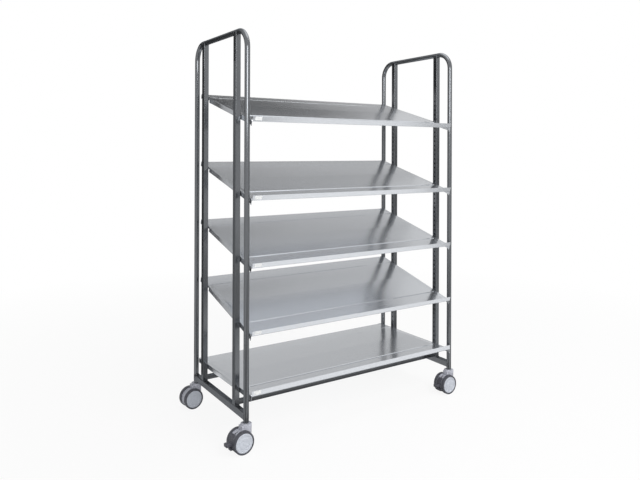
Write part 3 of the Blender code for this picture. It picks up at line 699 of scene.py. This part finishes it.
def make_rails(group):
    """Two bars along Y between the legs, coped to them."""
    low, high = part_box("left_rail")
    reach = (high.z + low.z) / 2
    length = high.y - low.y
    near = LEG_Y["front"] - low.y
    size = (length, high.x - low.x, high.z - low.z)
    tube = section_tube(group, *size, BAR_CORNER, near_saddle=near, far_saddle=length - near)
    lying = spin(-math.pi / 2, "X")
    for side in SIDES:
        place = shift((FRAME_X[side], low.y, reach))
        piece(f"{side}_rail_bar", moved(tube, place @ lying), "painted_steel", "frame", (f"{side}_rail",))


def make_stretchers(group):
    """Two square bars along X between the uprights, on top of the rails."""
    low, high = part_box("front_stretcher")
    tube = section_tube(group, high.x - low.x, high.z - low.z, high.y - low.y, BAR_CORNER)
    lying = spin(math.pi / 2, "Y")
    for end in ENDS:
        place = shift((low.x, UPRIGHT_Y[end], (low.z + high.z) / 2))
        node = f"{end}_stretcher"
        piece(f"{node}_bar", moved(tube, place @ lying), "painted_steel", "frame", (node,))


def make_hoops():
    """Two inverted U bends of round tube, open at their feet."""
    points = [Vector((0, LEG_Y["front"], FRAME_FOOT))]
    for side, end in ((-1, "front"), (1, "rear")):
        centre = Vector((0, LEG_Y[end] - side * BEND_RADIUS, HANDLE_HEIGHT - BEND_RADIUS))
        for step in range(BEND_STEPS + 1):
            share = step / BEND_STEPS if side < 0 else 1 - step / BEND_STEPS
            angle = share * math.pi / 2
            points.append(centre + BEND_RADIUS * Vector((0, side * math.cos(angle), math.sin(angle))))
    points.append(Vector((0, LEG_Y["rear"], FRAME_FOOT)))
    for word, x in FRAME_X.items():
        curve = bpy.data.curves.new("hoop", "CURVE")
        curve.dimensions = "3D"
        curve.bevel_depth = TUBE_RADIUS
        curve.bevel_resolution = TUBE_RESOLUTION
        line = curve.splines.new("POLY")
        line.points.add(len(points) - 1)
        for point, place in zip(line.points, points):
            point.co = (*(place + Vector((x, 0, 0))), 1)
        tube = add_object("hoop", finished(add_object("hoop", curve)))
        modify(tube, "SOLIDIFY", thickness=TUBE_WALL, offset=-1)
        mesh = smoothed(finished(tube))
        piece(f"{word}_hoop_tube", mesh, "painted_steel", "frame", (f"{word}_hoop",))


# Weld beads


def weld_tree():
    """Node tree of a weld bead along the edges of a mesh."""
    inputs = {"Geometry": ("Path",), "Float": ("Radius", "Step"), "Material": ("Finish",)}
    tree, given = new_group("weld_bead", inputs, "Bead")
    path = tree.node("GeometryNodeMeshToCurve", {}, {"Mesh": given["Path"]})
    sockets = {"Curve": path, "Length": given["Step"]}
    path = tree.node("GeometryNodeResampleCurve", {"mode": "LENGTH"}, sockets)
    sockets = {"Resolution": WELD_SIDES, "Radius": given["Radius"]}
    profile = tree.node("GeometryNodeCurvePrimitiveCircle", {}, sockets)
    sockets = {"Curve": path, "Profile Curve": profile, "Fill Caps": True}
    return end_group(tree, given, "Bead", tree.node("GeometryNodeCurveToMesh", {}, sockets))


def box_path(half_width, half_depth, corner):
    """Points round a rounded rectangle in its own plane."""
    dense = []
    outline = rounded(rectangle(half_width, half_depth), corner, closed=True)
    for start, end in zip(outline, outline[1:] + outline[:1]):
        parts = max(1, math.ceil((end - start).length / WELD_STEP))
        dense += [start.lerp(end, part / parts) for part in range(parts)]
    return dense


def saddle_drop(across):
    """How far a point beside a round tube's middle lies from the plane through that middle."""
    return math.sqrt(max(0.0, TUBE_RADIUS**2 - across**2))


def make_welds():
    """Beads round the ends of the uprights, rails and stretchers."""
    loops = []
    upright = extent("front_left_upright") / 2
    rail_low, rail_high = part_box("left_rail")
    rail_middle = (rail_low.z + rail_high.z) / 2
    stretcher = extent("front_stretcher") / 2
    for side, x in FRAME_X.items():
        for y in UPRIGHT_Y.values():
            loop = box_path(upright.x, upright.y, UPRIGHT_CORNER)
            loops.append([(x + p.x, y + p.y, HANDLE_HEIGHT - saddle_drop(p.x)) for p in loop])
            loops.append([(x + p.x, y + p.y, RAIL_TOP) for p in loop])
            inner = x + (upright.x if side == "left" else -upright.x)
            loop = box_path(stretcher.y, stretcher.z, BAR_CORNER)
            loops.append([(inner, y + p.x, middle("front_stretcher").z + p.y) for p in loop])
        loop = box_path(extent("left_rail").x / 2, extent("left_rail").z / 2, BAR_CORNER)
        for end, turn in (("front", 1), ("rear", -1)):
            y = LEG_Y[end]
            loops.append([(x + p.x, y + turn * saddle_drop(p.x), rail_middle + p.y) for p in loop])
    shape = bmesh.new()
    for loop in loops:
        points = [shape.verts.new(point) for point in loop]
        for start, end in zip(points, points[1:] + points[:1]):
            shape.edges.new((start, end))
    values = {"Radius": WELD_RADIUS, "Step": WELD_STEP, "Finish": FINISHES["painted_steel"]}
    mesh = from_tree(weld_tree(), values, as_mesh(shape, "weld_paths"))
    piece("frame_weld_beads", smoothed(mesh, WELD_SMOOTH_ANGLE), "painted_steel", "frame")


# Shelves


def folded(distance):
    """Run and drop of a point on the sheet, this far past the start of a right-angled fold."""
    bend = FOLD_RADIUS * math.pi / 2
    if distance < bend:
        angle = distance / FOLD_RADIUS
        return FOLD_RADIUS * math.sin(angle), FOLD_RADIUS * (1 - math.cos(angle))
    return FOLD_RADIUS, FOLD_RADIUS + distance - bend


def fold_stations(height):
    """Distances past the start of a fold at which the sheet gets a row of points."""
    bend = FOLD_RADIUS * math.pi / 2
    stations = [bend * step / FOLD_STEPS for step in range(1, FOLD_STEPS + 1)]
    return stations + [bend + height - FOLD_RADIUS]


def panel_shape(y, x, half):
    """Height of the pressed panel over its flat, y from the lip's front and x from the middle.

    A gutter lies behind the lip, then a low step, a shallow crease along the middle and a groove, behind
    which the rear strip falls a little.
    """
    if y < GUTTER_END:
        return -GUTTER_DEPTH * min(1.0, (GUTTER_END - y) / GUTTER_SLOPE)
    inside = max(0.0, min(1.0, (half - PRESS_END - abs(x)) / PRESS_RUN_OUT))
    if y < FRONT_LINE:
        rise = -STEP_HEIGHT * (y - GUTTER_END) / (FRONT_LINE - GUTTER_END)
    elif y < FRONT_LINE + STEP_RUN:
        rise = STEP_HEIGHT * ((y - FRONT_LINE) / STEP_RUN - 1)
    elif y < GROOVE_PLACE:
        rise = CREASE_HEIGHT * (1 - abs(y - CREASE_PLACE) / (GROOVE_PLACE - CREASE_PLACE))
    else:
        rise = -REAR_FALL * (y - GROOVE_PLACE) / REAR_STRIP
    off = abs(y - GROOVE_PLACE) / (GROOVE_WIDTH / 2)
    if off < 1:
        rise -= GROOVE_DEPTH * (1 + math.cos(math.pi * off)) / 2
    return rise * inside * inside * (3 - 2 * inside)


def panel_rows():
    """Places along Y, from the lip's front, at which the panel gets a row of points."""
    front, rear = SHEET + FOLD_RADIUS, SHELF_DEPTH - FOLD_RADIUS
    rows = {front, rear, rear - CORNER_RELIEF, GUTTER_END - GUTTER_SLOPE, GUTTER_END, GUTTER_END + STEP_RUN}
    rows |= {FRONT_LINE - STEP_RUN, FRONT_LINE, FRONT_LINE + STEP_RUN, FRONT_LINE + 2 * STEP_RUN}
    rows |= {CREASE_PLACE - CREASE_ROUNDING, CREASE_PLACE, CREASE_PLACE + CREASE_ROUNDING}
    rows |= {GROOVE_PLACE + GROOVE_WIDTH * (step / GROOVE_ROWS - 0.5) for step in range(GROOVE_ROWS + 1)}
    return sorted(rows)


def panel_columns(half):
    """Places along X at which the panel gets a column of points."""
    edge = half - FOLD_RADIUS
    ends = [edge, edge - CORNER_RELIEF]
    ends += [half - PRESS_END - PRESS_RUN_OUT * step / PRESS_COLUMNS for step in range(PRESS_COLUMNS + 1)]
    spread = [ends[-1] * step / SPREAD_COLUMNS for step in range(SPREAD_COLUMNS)]
    places = ends + spread
    return sorted({*places, *(-place for place in places)})


def shelf_sheet(half):
    """One folded sheet about its studs: a lip up at the front, and flanges down at the rear and the sides."""
    rows, columns = panel_rows(), panel_columns(half)
    shape = bmesh.new()
    panel = {}
    for x in columns:
        for y in rows:
            rise = PANEL_RISE + panel_shape(y, x, half)
            panel[x, y] = shape.verts.new((x, y - SHELF_OVERHANG, rise))

    def strip(corners, height, place):
        """Fold a flange off a row of points of the panel."""
        last = corners
        for station in fold_stations(height):
            grown = [shape.verts.new(place(corner.co, *folded(station))) for corner in corners]
            for a, b, c, d in zip(last, last[1:], grown[1:], grown):
                shape.faces.new((a, b, c, d))
            last = grown

    for left, right in zip(columns, columns[1:]):
        for near, far in zip(rows, rows[1:]):
            shape.faces.new([panel[left, near], panel[right, near], panel[right, far], panel[left, far]])
    strip(
        [panel[x, rows[0]] for x in columns],
        LIP_HEIGHT + GUTTER_DEPTH,
        lambda p, run, rise: (p.x, p.y - run, p.z + rise),
    )
    inside = columns[1:-1]
    strip(
        [panel[x, rows[-1]] for x in inside],
        REAR_FLANGE_HEIGHT,
        lambda p, run, drop: (p.x, p.y + run, p.z - drop),
    )
    for edge, side in ((columns[0], -1), (columns[-1], 1)):
        strip(
            [panel[edge, y] for y in rows[:-1]],
            FLANGE_HEIGHT,
            lambda p, run, drop, side=side: (p.x + side * run, p.y, p.z - drop),
        )
    bmesh.ops.recalc_face_normals(shape, faces=shape.faces)
    if max(shape.faces, key=lambda face: face.calc_area()).normal.z < 0:
        bmesh.ops.reverse_faces(shape, faces=shape.faces)
    return as_mesh(shape, "sheet")


def shelf_mesh(half, peg_reach):
    """The sheet with its thickness, and a notch in each side flange over the rear peg."""
    body = add_object("shelf", shelf_sheet(half))
    modify(body, "SOLIDIFY", thickness=SHEET, offset=-1, use_even_offset=True)
    body = add_object("shelf", finished(body))
    front, rear = peg_reach - NOTCH_FRONT, peg_reach + NOTCH_REAR
    top = PIN_DIAMETER / 2 + CLEARANCE
    bottom = PANEL_RISE - FLANGE_HEIGHT - 2 * SHEET
    size = (PAST_ENDS * half, rear - front, top - bottom)
    notch = block(size, (0, (front + rear) / 2, (top + bottom) / 2))
    return weighted(finished(combine(body, notch)))


def studs_mesh(half, reach):
    """The two pivot studs, each with a riveted head inside its flange."""
    shape = bmesh.new()
    head, radius = STUD_HEAD_DIAMETER / 2, PIN_DIAMETER / 2
    bottom = -SHEET - STUD_HEAD
    profile = [(0, bottom), (head * STUD_HEAD_TAPER, bottom), (head, -SHEET), (radius, -SHEET)]
    profile += [(radius, reach - PIN_CHAMFER), (radius - PIN_CHAMFER, reach), (0, reach)]
    stud = turned(profile, PIN_STEPS)
    for side in (-1, 1):
        place = shift((side * half, 0, 0)) @ spin(side * math.pi / 2, "Y")
        shape.from_mesh(moved(stud, place))
    return smoothed(as_mesh(shape, "studs"))


def label_mesh(half):
    """A blank label on the front of the lip near its left end."""
    wide, high = LABEL_SIZE
    outline = rounded(rectangle(wide / 2, high / 2), LABEL_CORNER, closed=True)
    mesh = slab(outline, LABEL_THICKNESS)
    centre = (
        LABEL_INSET + wide / 2 - half,
        -SHELF_OVERHANG - LABEL_THICKNESS / 2,
        PANEL_RISE + (LIP_HEIGHT - SHEET) / 2,
    )
    mesh.transform(shift(centre))
    return mesh


def peg_mesh():
    """A turned peg along X, from inside the upright to past the shelf's flange, about the upright's face."""
    radius = PIN_DIAMETER / 2
    low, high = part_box("left_peg_1")
    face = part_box("front_left_upright")[1].x
    tip, root = high.x - face, low.x - face
    collar = (high.z - low.z) / 2
    profile = [(0, root), (radius - PIN_CHAMFER, root), (radius, root + PIN_CHAMFER), (radius, CLEARANCE)]
    profile += [(collar, CLEARANCE), (collar, PEG_COLLAR), (radius, PEG_COLLAR)]
    profile += [(radius, tip - PEG_TIP_CHAMFER), (radius - PEG_TIP_CHAMFER, tip), (0, tip)]
    mesh = turned(profile, PIN_STEPS)
    mesh.transform(spin(math.pi / 2, "Y"))
    return mesh


def make_shelves():
    half = (middle("shelf_1").x - FRAME_X["left"]) - TUBE_RADIUS - SHELF_GAP
    pivot = Vector(JOINTS["shelf_2_lift"]["pos_m"])
    peg_reach = middle("left_peg_1").y - pivot.y
    sheet = shelf_mesh(half, peg_reach)
    upright_face = (FRAME_X["right"] - FRAME_X["left"] - extent("front_left_upright").x) / 2
    studs = studs_mesh(half, upright_face - half + STUD_REACH)
    label = label_mesh(half)
    peg = peg_mesh()
    for number in SHELF_NUMBERS:
        pivot = Vector(JOINTS[f"shelf_{number}_lift"]["pos_m"])
        rest = middle(f"left_peg_{number}") - pivot
        tilt = math.atan2(rest.z, rest.y)
        place = shift(pivot) @ spin(tilt, "X")
        body = f"shelf_{number}_body"
        piece(f"shelf_{number}_sheet", moved(sheet, place), "galvanised_sheet", body, (f"shelf_{number}",))
        piece(f"shelf_{number}_studs", moved(studs, place), "plated_steel", body)
        piece(f"shelf_{number}_label", moved(label, place), "label_paper", body)
        for side, facing in (("left", 0), ("right", math.pi)):
            centre = middle(f"{side}_peg_{number}")
            centre.x = FRAME_MIDDLE.x + (-upright_face if side == "left" else upright_face)
            turn = shift(centre) @ spin(facing, "Z")
            node = f"{side}_peg_{number}"
            piece(f"{node}_pin", moved(peg, turn), "plated_steel", "frame", (node,))


# Casters


def about_axle(trail, radius, degrees):
    """X and Z of a point about the axle, by its radius and its angle up from the trailing side."""
    angle = math.radians(degrees)
    return -trail - radius * math.cos(angle), WHEEL_RADIUS + radius * math.sin(angle)


def arc(trail, radius, start, end):
    count = max(1, round(abs(end - start) / ARC_STEP))
    return [about_axle(trail, radius, start + (end - start) * part / count) for part in range(count + 1)]


def disc_mesh():
    """A dished wheel disc along Z: a raised rim, a hollow ring and a low cap over the axle."""
    face = WHEEL_WIDTH / 2
    rim = WHEEL_RADIUS - TYRE_THICKNESS - CLEARANCE
    seat = AXLE_DEPTH + CLEARANCE - face
    corners = [(radius, face - depth) for radius, depth in DISC_FACE]
    corners += [(rim - RIM_CHAMFER, face - RIM_INSET), (rim, face - RIM_INSET - RIM_CHAMFER)]
    corners += [(rim, -face), (AXLE_BORE, -face), (AXLE_BORE, seat), (0, seat)]
    return turned(rounded(corners, DISC_CORNER, 3))


def tyre_mesh():
    """A round-shouldered tread with a fine groove on each side wall."""
    face = WHEEL_WIDTH / 2
    inner = WHEEL_RADIUS - TYRE_THICKNESS
    side = [(inner + out, face - depth) for out, depth in TYRE_WALL]
    side.append((WHEEL_RADIUS, face - TREAD_INSET))
    corners = side + [(radius, -height) for radius, height in reversed(side)]
    return turned(rounded(corners, TYRE_SHOULDER, 6, closed=True), TYRE_STEPS, ring=True)


def head_mesh():
    """The round head: a flat top round the stem, a rolled edge and a groove above the skirt."""
    bottom = HEAD_TOP - SKIRT_HEIGHT
    corners = [(0, HEAD_TOP), (HEAD_RADIUS, HEAD_TOP)]
    corners += [(HEAD_RADIUS - inset, HEAD_TOP - depth) for inset, depth in HEAD_GROOVE]
    corners += [(HEAD_RADIUS - SKIRT_INSET, bottom), (0, bottom)]
    return turned(rounded(corners, HEAD_CORNER))


def housing_mesh(trail, pin):
    """Head and skirt over the wheels and the web between them, with side plates round a pedal on its pin."""
    body = add_object("housing", head_mesh())
    wells = bmesh.new()
    depth = 2 * HEAD_RADIUS
    for side in (-1, 1):
        centre = (-trail, side * (WEB_THICKNESS + depth) / 2, WHEEL_RADIUS)
        add_rod(wells, WHEEL_RADIUS + WELL_GAP, depth, centre, ACROSS, WELL_STEPS)
    body = combine(body, as_mesh(wells, "wells"))
    radius = WHEEL_RADIUS - WEB_INSET
    if pin:
        bottom, top = BRAKE_OPENING
        outline = arc(trail, radius, top, bottom + 360) + arc(trail, BRAKE_WEB_RADIUS, bottom, top)
        web = softened(slab(outline, WEB_THICKNESS), EDGES["braked_web"])
    else:
        web = softened(slab(arc(trail, radius, 0, 360 - ARC_STEP), WEB_THICKNESS), EDGES["web"])
    body = combine(body, web, "UNION")
    top = HEAD_TOP - NECK_DROP
    size = (trail + NECK_FRONT, WEB_THICKNESS - NECK_INSET, top - WHEEL_RADIUS)
    neck = block(size, ((NECK_FRONT - trail) / 2, 0, (top + WHEEL_RADIUS) / 2))
    body = combine(body, softened(neck, EDGES["neck"]), "UNION")
    if pin:
        for side in (-1, 1):
            outline = arc(trail, radius + PLATE_OUT, -PLATE_BOTTOM, 180 + PLATE_BOTTOM)
            plate = slab(outline, PLATE_THICKNESS)
            plate.transform(shift((0, side * (WEB_THICKNESS - PLATE_THICKNESS) / 2, 0)))
            body = combine(body, softened(plate, EDGES["plate"], 2), "UNION")
    body = combine(body, bores_mesh(trail, pin))
    return smoothed(finished(body))


def bores_mesh(trail, pin):
    """Rods to cut the housing's bores for stem and axle, and the slot and bore for a pedal on its pin."""
    shape = bmesh.new()
    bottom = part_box("front_left_stem")[0].z - CLEARANCE
    top = HEAD_TOP + BORE_PAST
    add_rod(shape, STEM_BORE, top - bottom, (0, 0, (top + bottom) / 2), UP)
    add_rod(shape, AXLE_BORE, WHEEL_SPACING, (-trail, 0, WHEEL_RADIUS), ACROSS)
    if pin:
        place = (pin[0], 0, pin[1])
        add_rod(shape, PEDAL_SLOT, PEDAL_TONGUE + 4 * CLEARANCE, place, ACROSS)
    return as_mesh(shape, "bores")


def pedal_mesh(trail, pin):
    """A curved lever between the wheels on a tongue, with a tread that sticks out behind and a lug below."""
    outer = WHEEL_RADIUS - WEB_INSET
    inner = outer - PEDAL_THICKNESS
    bottom, top = PEDAL_ARC
    gap, lap = PEDAL_LAP
    outline = arc(trail, outer + PEDAL_BULGE, bottom, top + lap)
    outline += arc(trail, outer + gap, top + lap, top) + arc(trail, inner, top, bottom)
    body = add_object("pedal", softened(slab(outline, PEDAL_WIDTH), EDGES["pedal"]))
    for angle, reach, width, height in PEDAL_LUGS:
        tip, _ = about_axle(trail, reach, angle)
        root, level = about_axle(trail, outer - LUG_ROOT, angle)
        lug = block((root - tip, width, height), ((root + tip) / 2, 0, level))
        body = combine(body, softened(lug, EDGES["lug"]), "UNION")
    start, end = TONGUE_ARC
    tongue = arc(trail, outer - TONGUE_INSET, start, end) + arc(trail, inner + TONGUE_INSET, end, start)
    tongue = slab(tongue, PEDAL_TONGUE - CLEARANCE)
    body = combine(body, softened(tongue, EDGES["tongue"]), "UNION")
    bore = bmesh.new()
    radius = extent("front_left_pedal_pin").z / 2 + 2 * CLEARANCE
    add_rod(bore, radius, 2 * PEDAL_TONGUE, (pin[0], 0, pin[1]), ACROSS, PIN_STEPS)
    body = combine(body, as_mesh(bore, "bore"))
    return smoothed(finished(body))


def make_casters():
    disc, tyre = disc_mesh(), tyre_mesh()
    for word in CASTER_WORDS:
        swivel = Vector(JOINTS[f"{word}_swivel"]["pos_m"])
        hubs = {which: Vector(JOINTS[f"{word}_wheel_{which}_spin"]["pos_m"]) for which in "ab"}
        back = (hubs["a"] + hubs["b"]) / 2 - swivel
        trail = math.hypot(back.x, back.y)
        turn = math.atan2(-back.y, -back.x)
        place = shift((swivel.x, swivel.y, 0)) @ spin(turn, "Z")
        body = f"{word}_caster"
        pin = None
        if word in BRAKED:
            joint = Vector(JOINTS[f"{word}_brake_press"]["pos_m"])
            pin = (-math.hypot(joint.x - swivel.x, joint.y - swivel.y), joint.z)
        housing = moved(housing_mesh(trail, pin), place)
        piece(f"{word}_housing_shell", housing, "grey_plastic", body, (f"{word}_housing",))
        for side, which in ((-1, "a"), (1, "b")):
            hub = shift((-trail, side * WHEEL_SPACING / 2, WHEEL_RADIUS))
            facing = place @ hub @ spin(-side * math.pi / 2, "X")
            wheel = f"{word}_wheel_{which}"
            node = f"{word}_disc_{which}"
            piece(f"{node}_cover", moved(disc, facing), "disc_plastic", wheel, (node,))
            node = f"{word}_tyre_{which}"
            piece(f"{node}_tread", moved(tyre, facing), "tyre_rubber", wheel, (node,))
        if pin:
            pedal = moved(pedal_mesh(trail, pin), place)
            piece(f"{word}_pedal_lever", pedal, "pedal_plastic", f"{word}_brake", (f"{word}_pedal",))


def dress_kept_nodes():
    """Give the solids that stay in view their finish."""
    for word in CASTER_WORDS:
        kept = [f"{word}_stem", f"{word}_axle"]
        if word in BRAKED:
            kept.append(f"{word}_pedal_pin")
        for name in kept:
            node = frame["nodes"][name]
            node.data.materials.clear()
            node.data.materials.append(FINISHES["plated_steel"])


# Studio

X, Y, Z = 0, 1, 2
TO_FRONT = (0, -1, 0)
REAR_GREYS = ((-0.3, 0.32), (-0.1, 0.38), (0.33, 0.51), (0.9, 0.60), (1.3, 0.66))
DARK_GREYS = ((-0.3, 0.00), (0.1, 0.00), (0.46, 0.03), (0.83, 0.25), (1.1, 0.40))
DIM_GREYS = ((-0.3, 0.00), (-0.05, 0.03), (0.2, 0.14), (0.45, 0.31), (0.8, 0.40), (1.1, 0.46))
CREASE_4_GREYS = ((1.58, 0.24), (1.64, 0.38), (1.70, 0.62), (1.72, 0.68))
CREASE_3_GREYS = ((1.38, 0.26), (1.45, 0.42), (1.475, 0.64))
BACK_GREYS = ((1.78, 0.60), (4.2, 0.59), (4.9, 0.66), (5.7, 0.70), (8.3, 0.76), (10.2, 0.76))
GLOW_GREYS = ((-3.9, 1.15), (-1.8, 1.08), (-1.0, 1.06), (-0.55, 1.12))

# Cards for the cart to mirror: name, greys, the axis they run along, centre, width, height, facing and lean
CARDS = (
    ("back_flag", BACK_GREYS, Z, (1.67, 6.22, 6.0), 16.7, 8.44, TO_FRONT),
    # Close to the cart, each where one shelf mirrors it from the camera. Their greys are fitted to the
    # photograph's tones, so from other sides they fit nothing. They can be left out.
    ("dark_flag", DARK_GREYS, X, (0.3, 0.6, 1.945), 1.6, 0.20, TO_FRONT),
    ("dim_flag", DIM_GREYS, X, (0.3, 0.6, 1.80), 1.6, 0.09, TO_FRONT),
    ("crease_4_flag", CREASE_4_GREYS, Z, (0.4, 0.6, 1.655), 1.9, 0.13, TO_FRONT),
    ("rear_2_flag", REAR_GREYS, X, (0.4, 0.6, 1.100), 1.9, 0.125, TO_FRONT),
    ("rear_3_flag", REAR_GREYS, X, (0.4, 0.6, 1.315), 1.9, 0.115, TO_FRONT),
    ("rear_4_flag", REAR_GREYS, X, (0.4, 0.6, 1.540), 1.9, 0.070, TO_FRONT),
    ("crease_3_flag", CREASE_3_GREYS, Z, (0.4, 0.6, 1.435), 1.9, 0.08, TO_FRONT),
    ("flange_glow", 0.52, X, (-0.645, 0.0275, 0.95), 0.315, 1.6, (1, 0, 0)),
    # Farther off, or on the floor
    ("low_flag", 0.22, X, (-0.67, 5.11, 0.98), 3.22, 1.94, TO_FRONT),
    ("side_flag", 0.06, X, (-2.72, 5.11, 1.78), 1.67, 3.56, TO_FRONT),
    ("floor_flag", 0.18, X, (-1.90, 2.89, 0.006), 1.45, 4.44, UP, -0.44),
    ("handle_flag", 0.22, X, (-0.89, 3.56, 0.005), 2.0, 3.78, UP),
    ("right_flag", 0.35, X, (5.67, -5.56, 0.89), 3.33, 1.78, ACROSS),
    ("near_flag", 0.25, X, (0.56, -0.42, 0.005), 2.89, 0.40, UP),
    ("front_flag", 0.50, X, (1.33, -2.44, 0.004), 6.67, 4.33, UP),
    ("floor_glow", GLOW_GREYS, Y, (1.58, -2.2, 0.006), 2.0, 3.16, UP, -0.84),
)

# Lamps: name, watts, place, target, width, height, and whether they show in reflections
SOFTBOXES = (
    ("camera_lamp", 54, (-2.0, -4.0, 2.28), (0, 0, 1.44), 2.67, 1.0, True),
    ("key_box", 117, (0.67, -4.0, 3.78), (0, 0, 1.0), 2.67, 1.78, False),
    ("top_box", 62, (0.67, -0.22, 4.22), (0, 0, 0.67), 3.33, 2.67, True),
)


def make_camera():
    data = bpy.data.cameras.new("camera")
    data.sensor_width = SENSOR_WIDTH
    data.lens = SENSOR_WIDTH * FOCAL_PIXELS / PICTURE_WIDTH
    data.shift_y = -((PICTURE_HEIGHT - 1) / 2 - HORIZON_ROW) / PICTURE_WIDTH
    camera = add_object("camera", data)
    yaw = math.radians(CAMERA_YAW)
    ahead = Vector((math.sin(yaw), math.cos(yaw), 0)).to_track_quat("-Z", "Y").to_matrix().to_4x4()
    roll = spin(math.radians(CAMERA_ROLL), "Z")
    camera.matrix_world = shift(FRAME_MIDDLE + CAMERA_PLACE) @ ahead @ roll
    bpy.context.scene.camera = camera


def seen(tree):
    """One for rays that show the studio itself: straight to the camera, mirrored or passed through."""
    path = tree.nodes.nodes.new("ShaderNodeLightPath")
    names = ("Is Camera Ray", "Is Glossy Ray", "Is Transmission Ray")
    straight, mirrored, passed = (Socket(tree, path.outputs[name]) for name in names)
    sockets = {0: straight + mirrored, 1: passed}
    return tree.node("ShaderNodeMath", {"operation": "ADD", "use_clamp": True}, sockets)


def make_world():
    world = bpy.data.worlds.new("studio")
    world.use_nodes = True
    tree = Tree(world.node_tree)
    strength = AMBIENT + (1 - AMBIENT) * seen(tree)
    sky = tree.node("ShaderNodeBackground", {}, {"Color": (1, 1, 1, 1), "Strength": strength})
    tree.node("ShaderNodeOutputWorld", {}, {"Surface": sky})
    bpy.context.scene.world = world


def stage_plane(material, matrix):
    """A flat piece of the studio, which isn't part of the cart."""
    shape = bmesh.new()
    bmesh.ops.create_grid(shape, x_segments=1, y_segments=1, size=0.5, matrix=matrix)
    mesh = as_mesh(shape, material.name)
    mesh.materials.append(material)
    made = add_object(material.name, mesh)
    return made


def make_floor():
    floor = Finish("floor")
    paper = floor.node("ShaderNodeBsdfDiffuse", {}, {"Color": (FLOOR_GREY, FLOOR_GREY, FLOOR_GREY, 1)})
    white = floor.node("ShaderNodeEmission", {}, {"Color": (1, 1, 1, 1), "Strength": 1.0})
    distance = floor.node("ShaderNodeVectorMath", {"operation": "LENGTH"}, {0: floor.place}, output=1)
    sockets = {"Value": distance, "From Min": FLOOR_NEAR, "From Max": FLOOR_FAR}
    share = floor.node("ShaderNodeMapRange", {}, {**sockets, "To Min": FLOOR_WHITE, "To Max": 1.0})
    sockets = {0: share * seen(floor), 1: paper, 2: white}
    material = floor.ended(floor.node("ShaderNodeMixShader", {}, sockets))
    stage_plane(material, Matrix.Diagonal((FLOOR_SIZE, FLOOR_SIZE, 1, 1)))


def card(name, greys, axis, centre, width, height, facing, lean=0.0):
    """A card out of the camera's sight for the cart to mirror: one grey, or greys at places along an axis."""
    stops = greys if isinstance(greys, tuple) else ((0, greys), (1, greys))
    finish = Finish(name)
    along = finish.node("ShaderNodeSeparateXYZ", {}, {0: finish.place}, output=axis)
    start, end = stops[0][0], stops[-1][0]
    levels = [((place - start) / (end - start), grey) for place, grey in stops]
    colour = finish.ramp((along - start) / (end - start), levels)
    material = finish.ended(finish.node("ShaderNodeEmission", {}, {"Color": colour, "Strength": 1.0}))
    turn = Vector(facing).to_track_quat("Z", "Y").to_matrix().to_4x4()
    skew = Matrix.Identity(4)
    skew[0][1] = lean
    made = stage_plane(material, shift(centre) @ turn @ skew @ Matrix.Diagonal((width, height, 1, 1)))
    made.visible_camera = False
    made.visible_diffuse = False
    made.visible_shadow = False


def softbox(name, power, place, target, width, height, mirrored):
    data = bpy.data.lights.new(name, "AREA")
    data.shape = "RECTANGLE"
    data.size = width
    data.size_y = height
    data.energy = power
    lamp = add_object(name, data)
    lamp.location = place
    lamp.rotation_euler = (Vector(target) - Vector(place)).to_track_quat("-Z", "Y").to_euler()
    lamp.visible_camera = False
    lamp.visible_glossy = mirrored


def make_studio():
    make_camera()
    make_world()
    make_floor()
    for row in CARDS:
        card(*row)
    for row in SOFTBOXES:
        softbox(*row)


def main():
    make_studio()
    group = section_tree()
    make_hoops()
    make_uprights(group)
    make_rails(group)
    make_stretchers(group)
    make_welds()
    make_shelves()
    make_casters()
    dress_kept_nodes()
    bpy.context.scene.view_settings.view_transform = "Standard"


main()
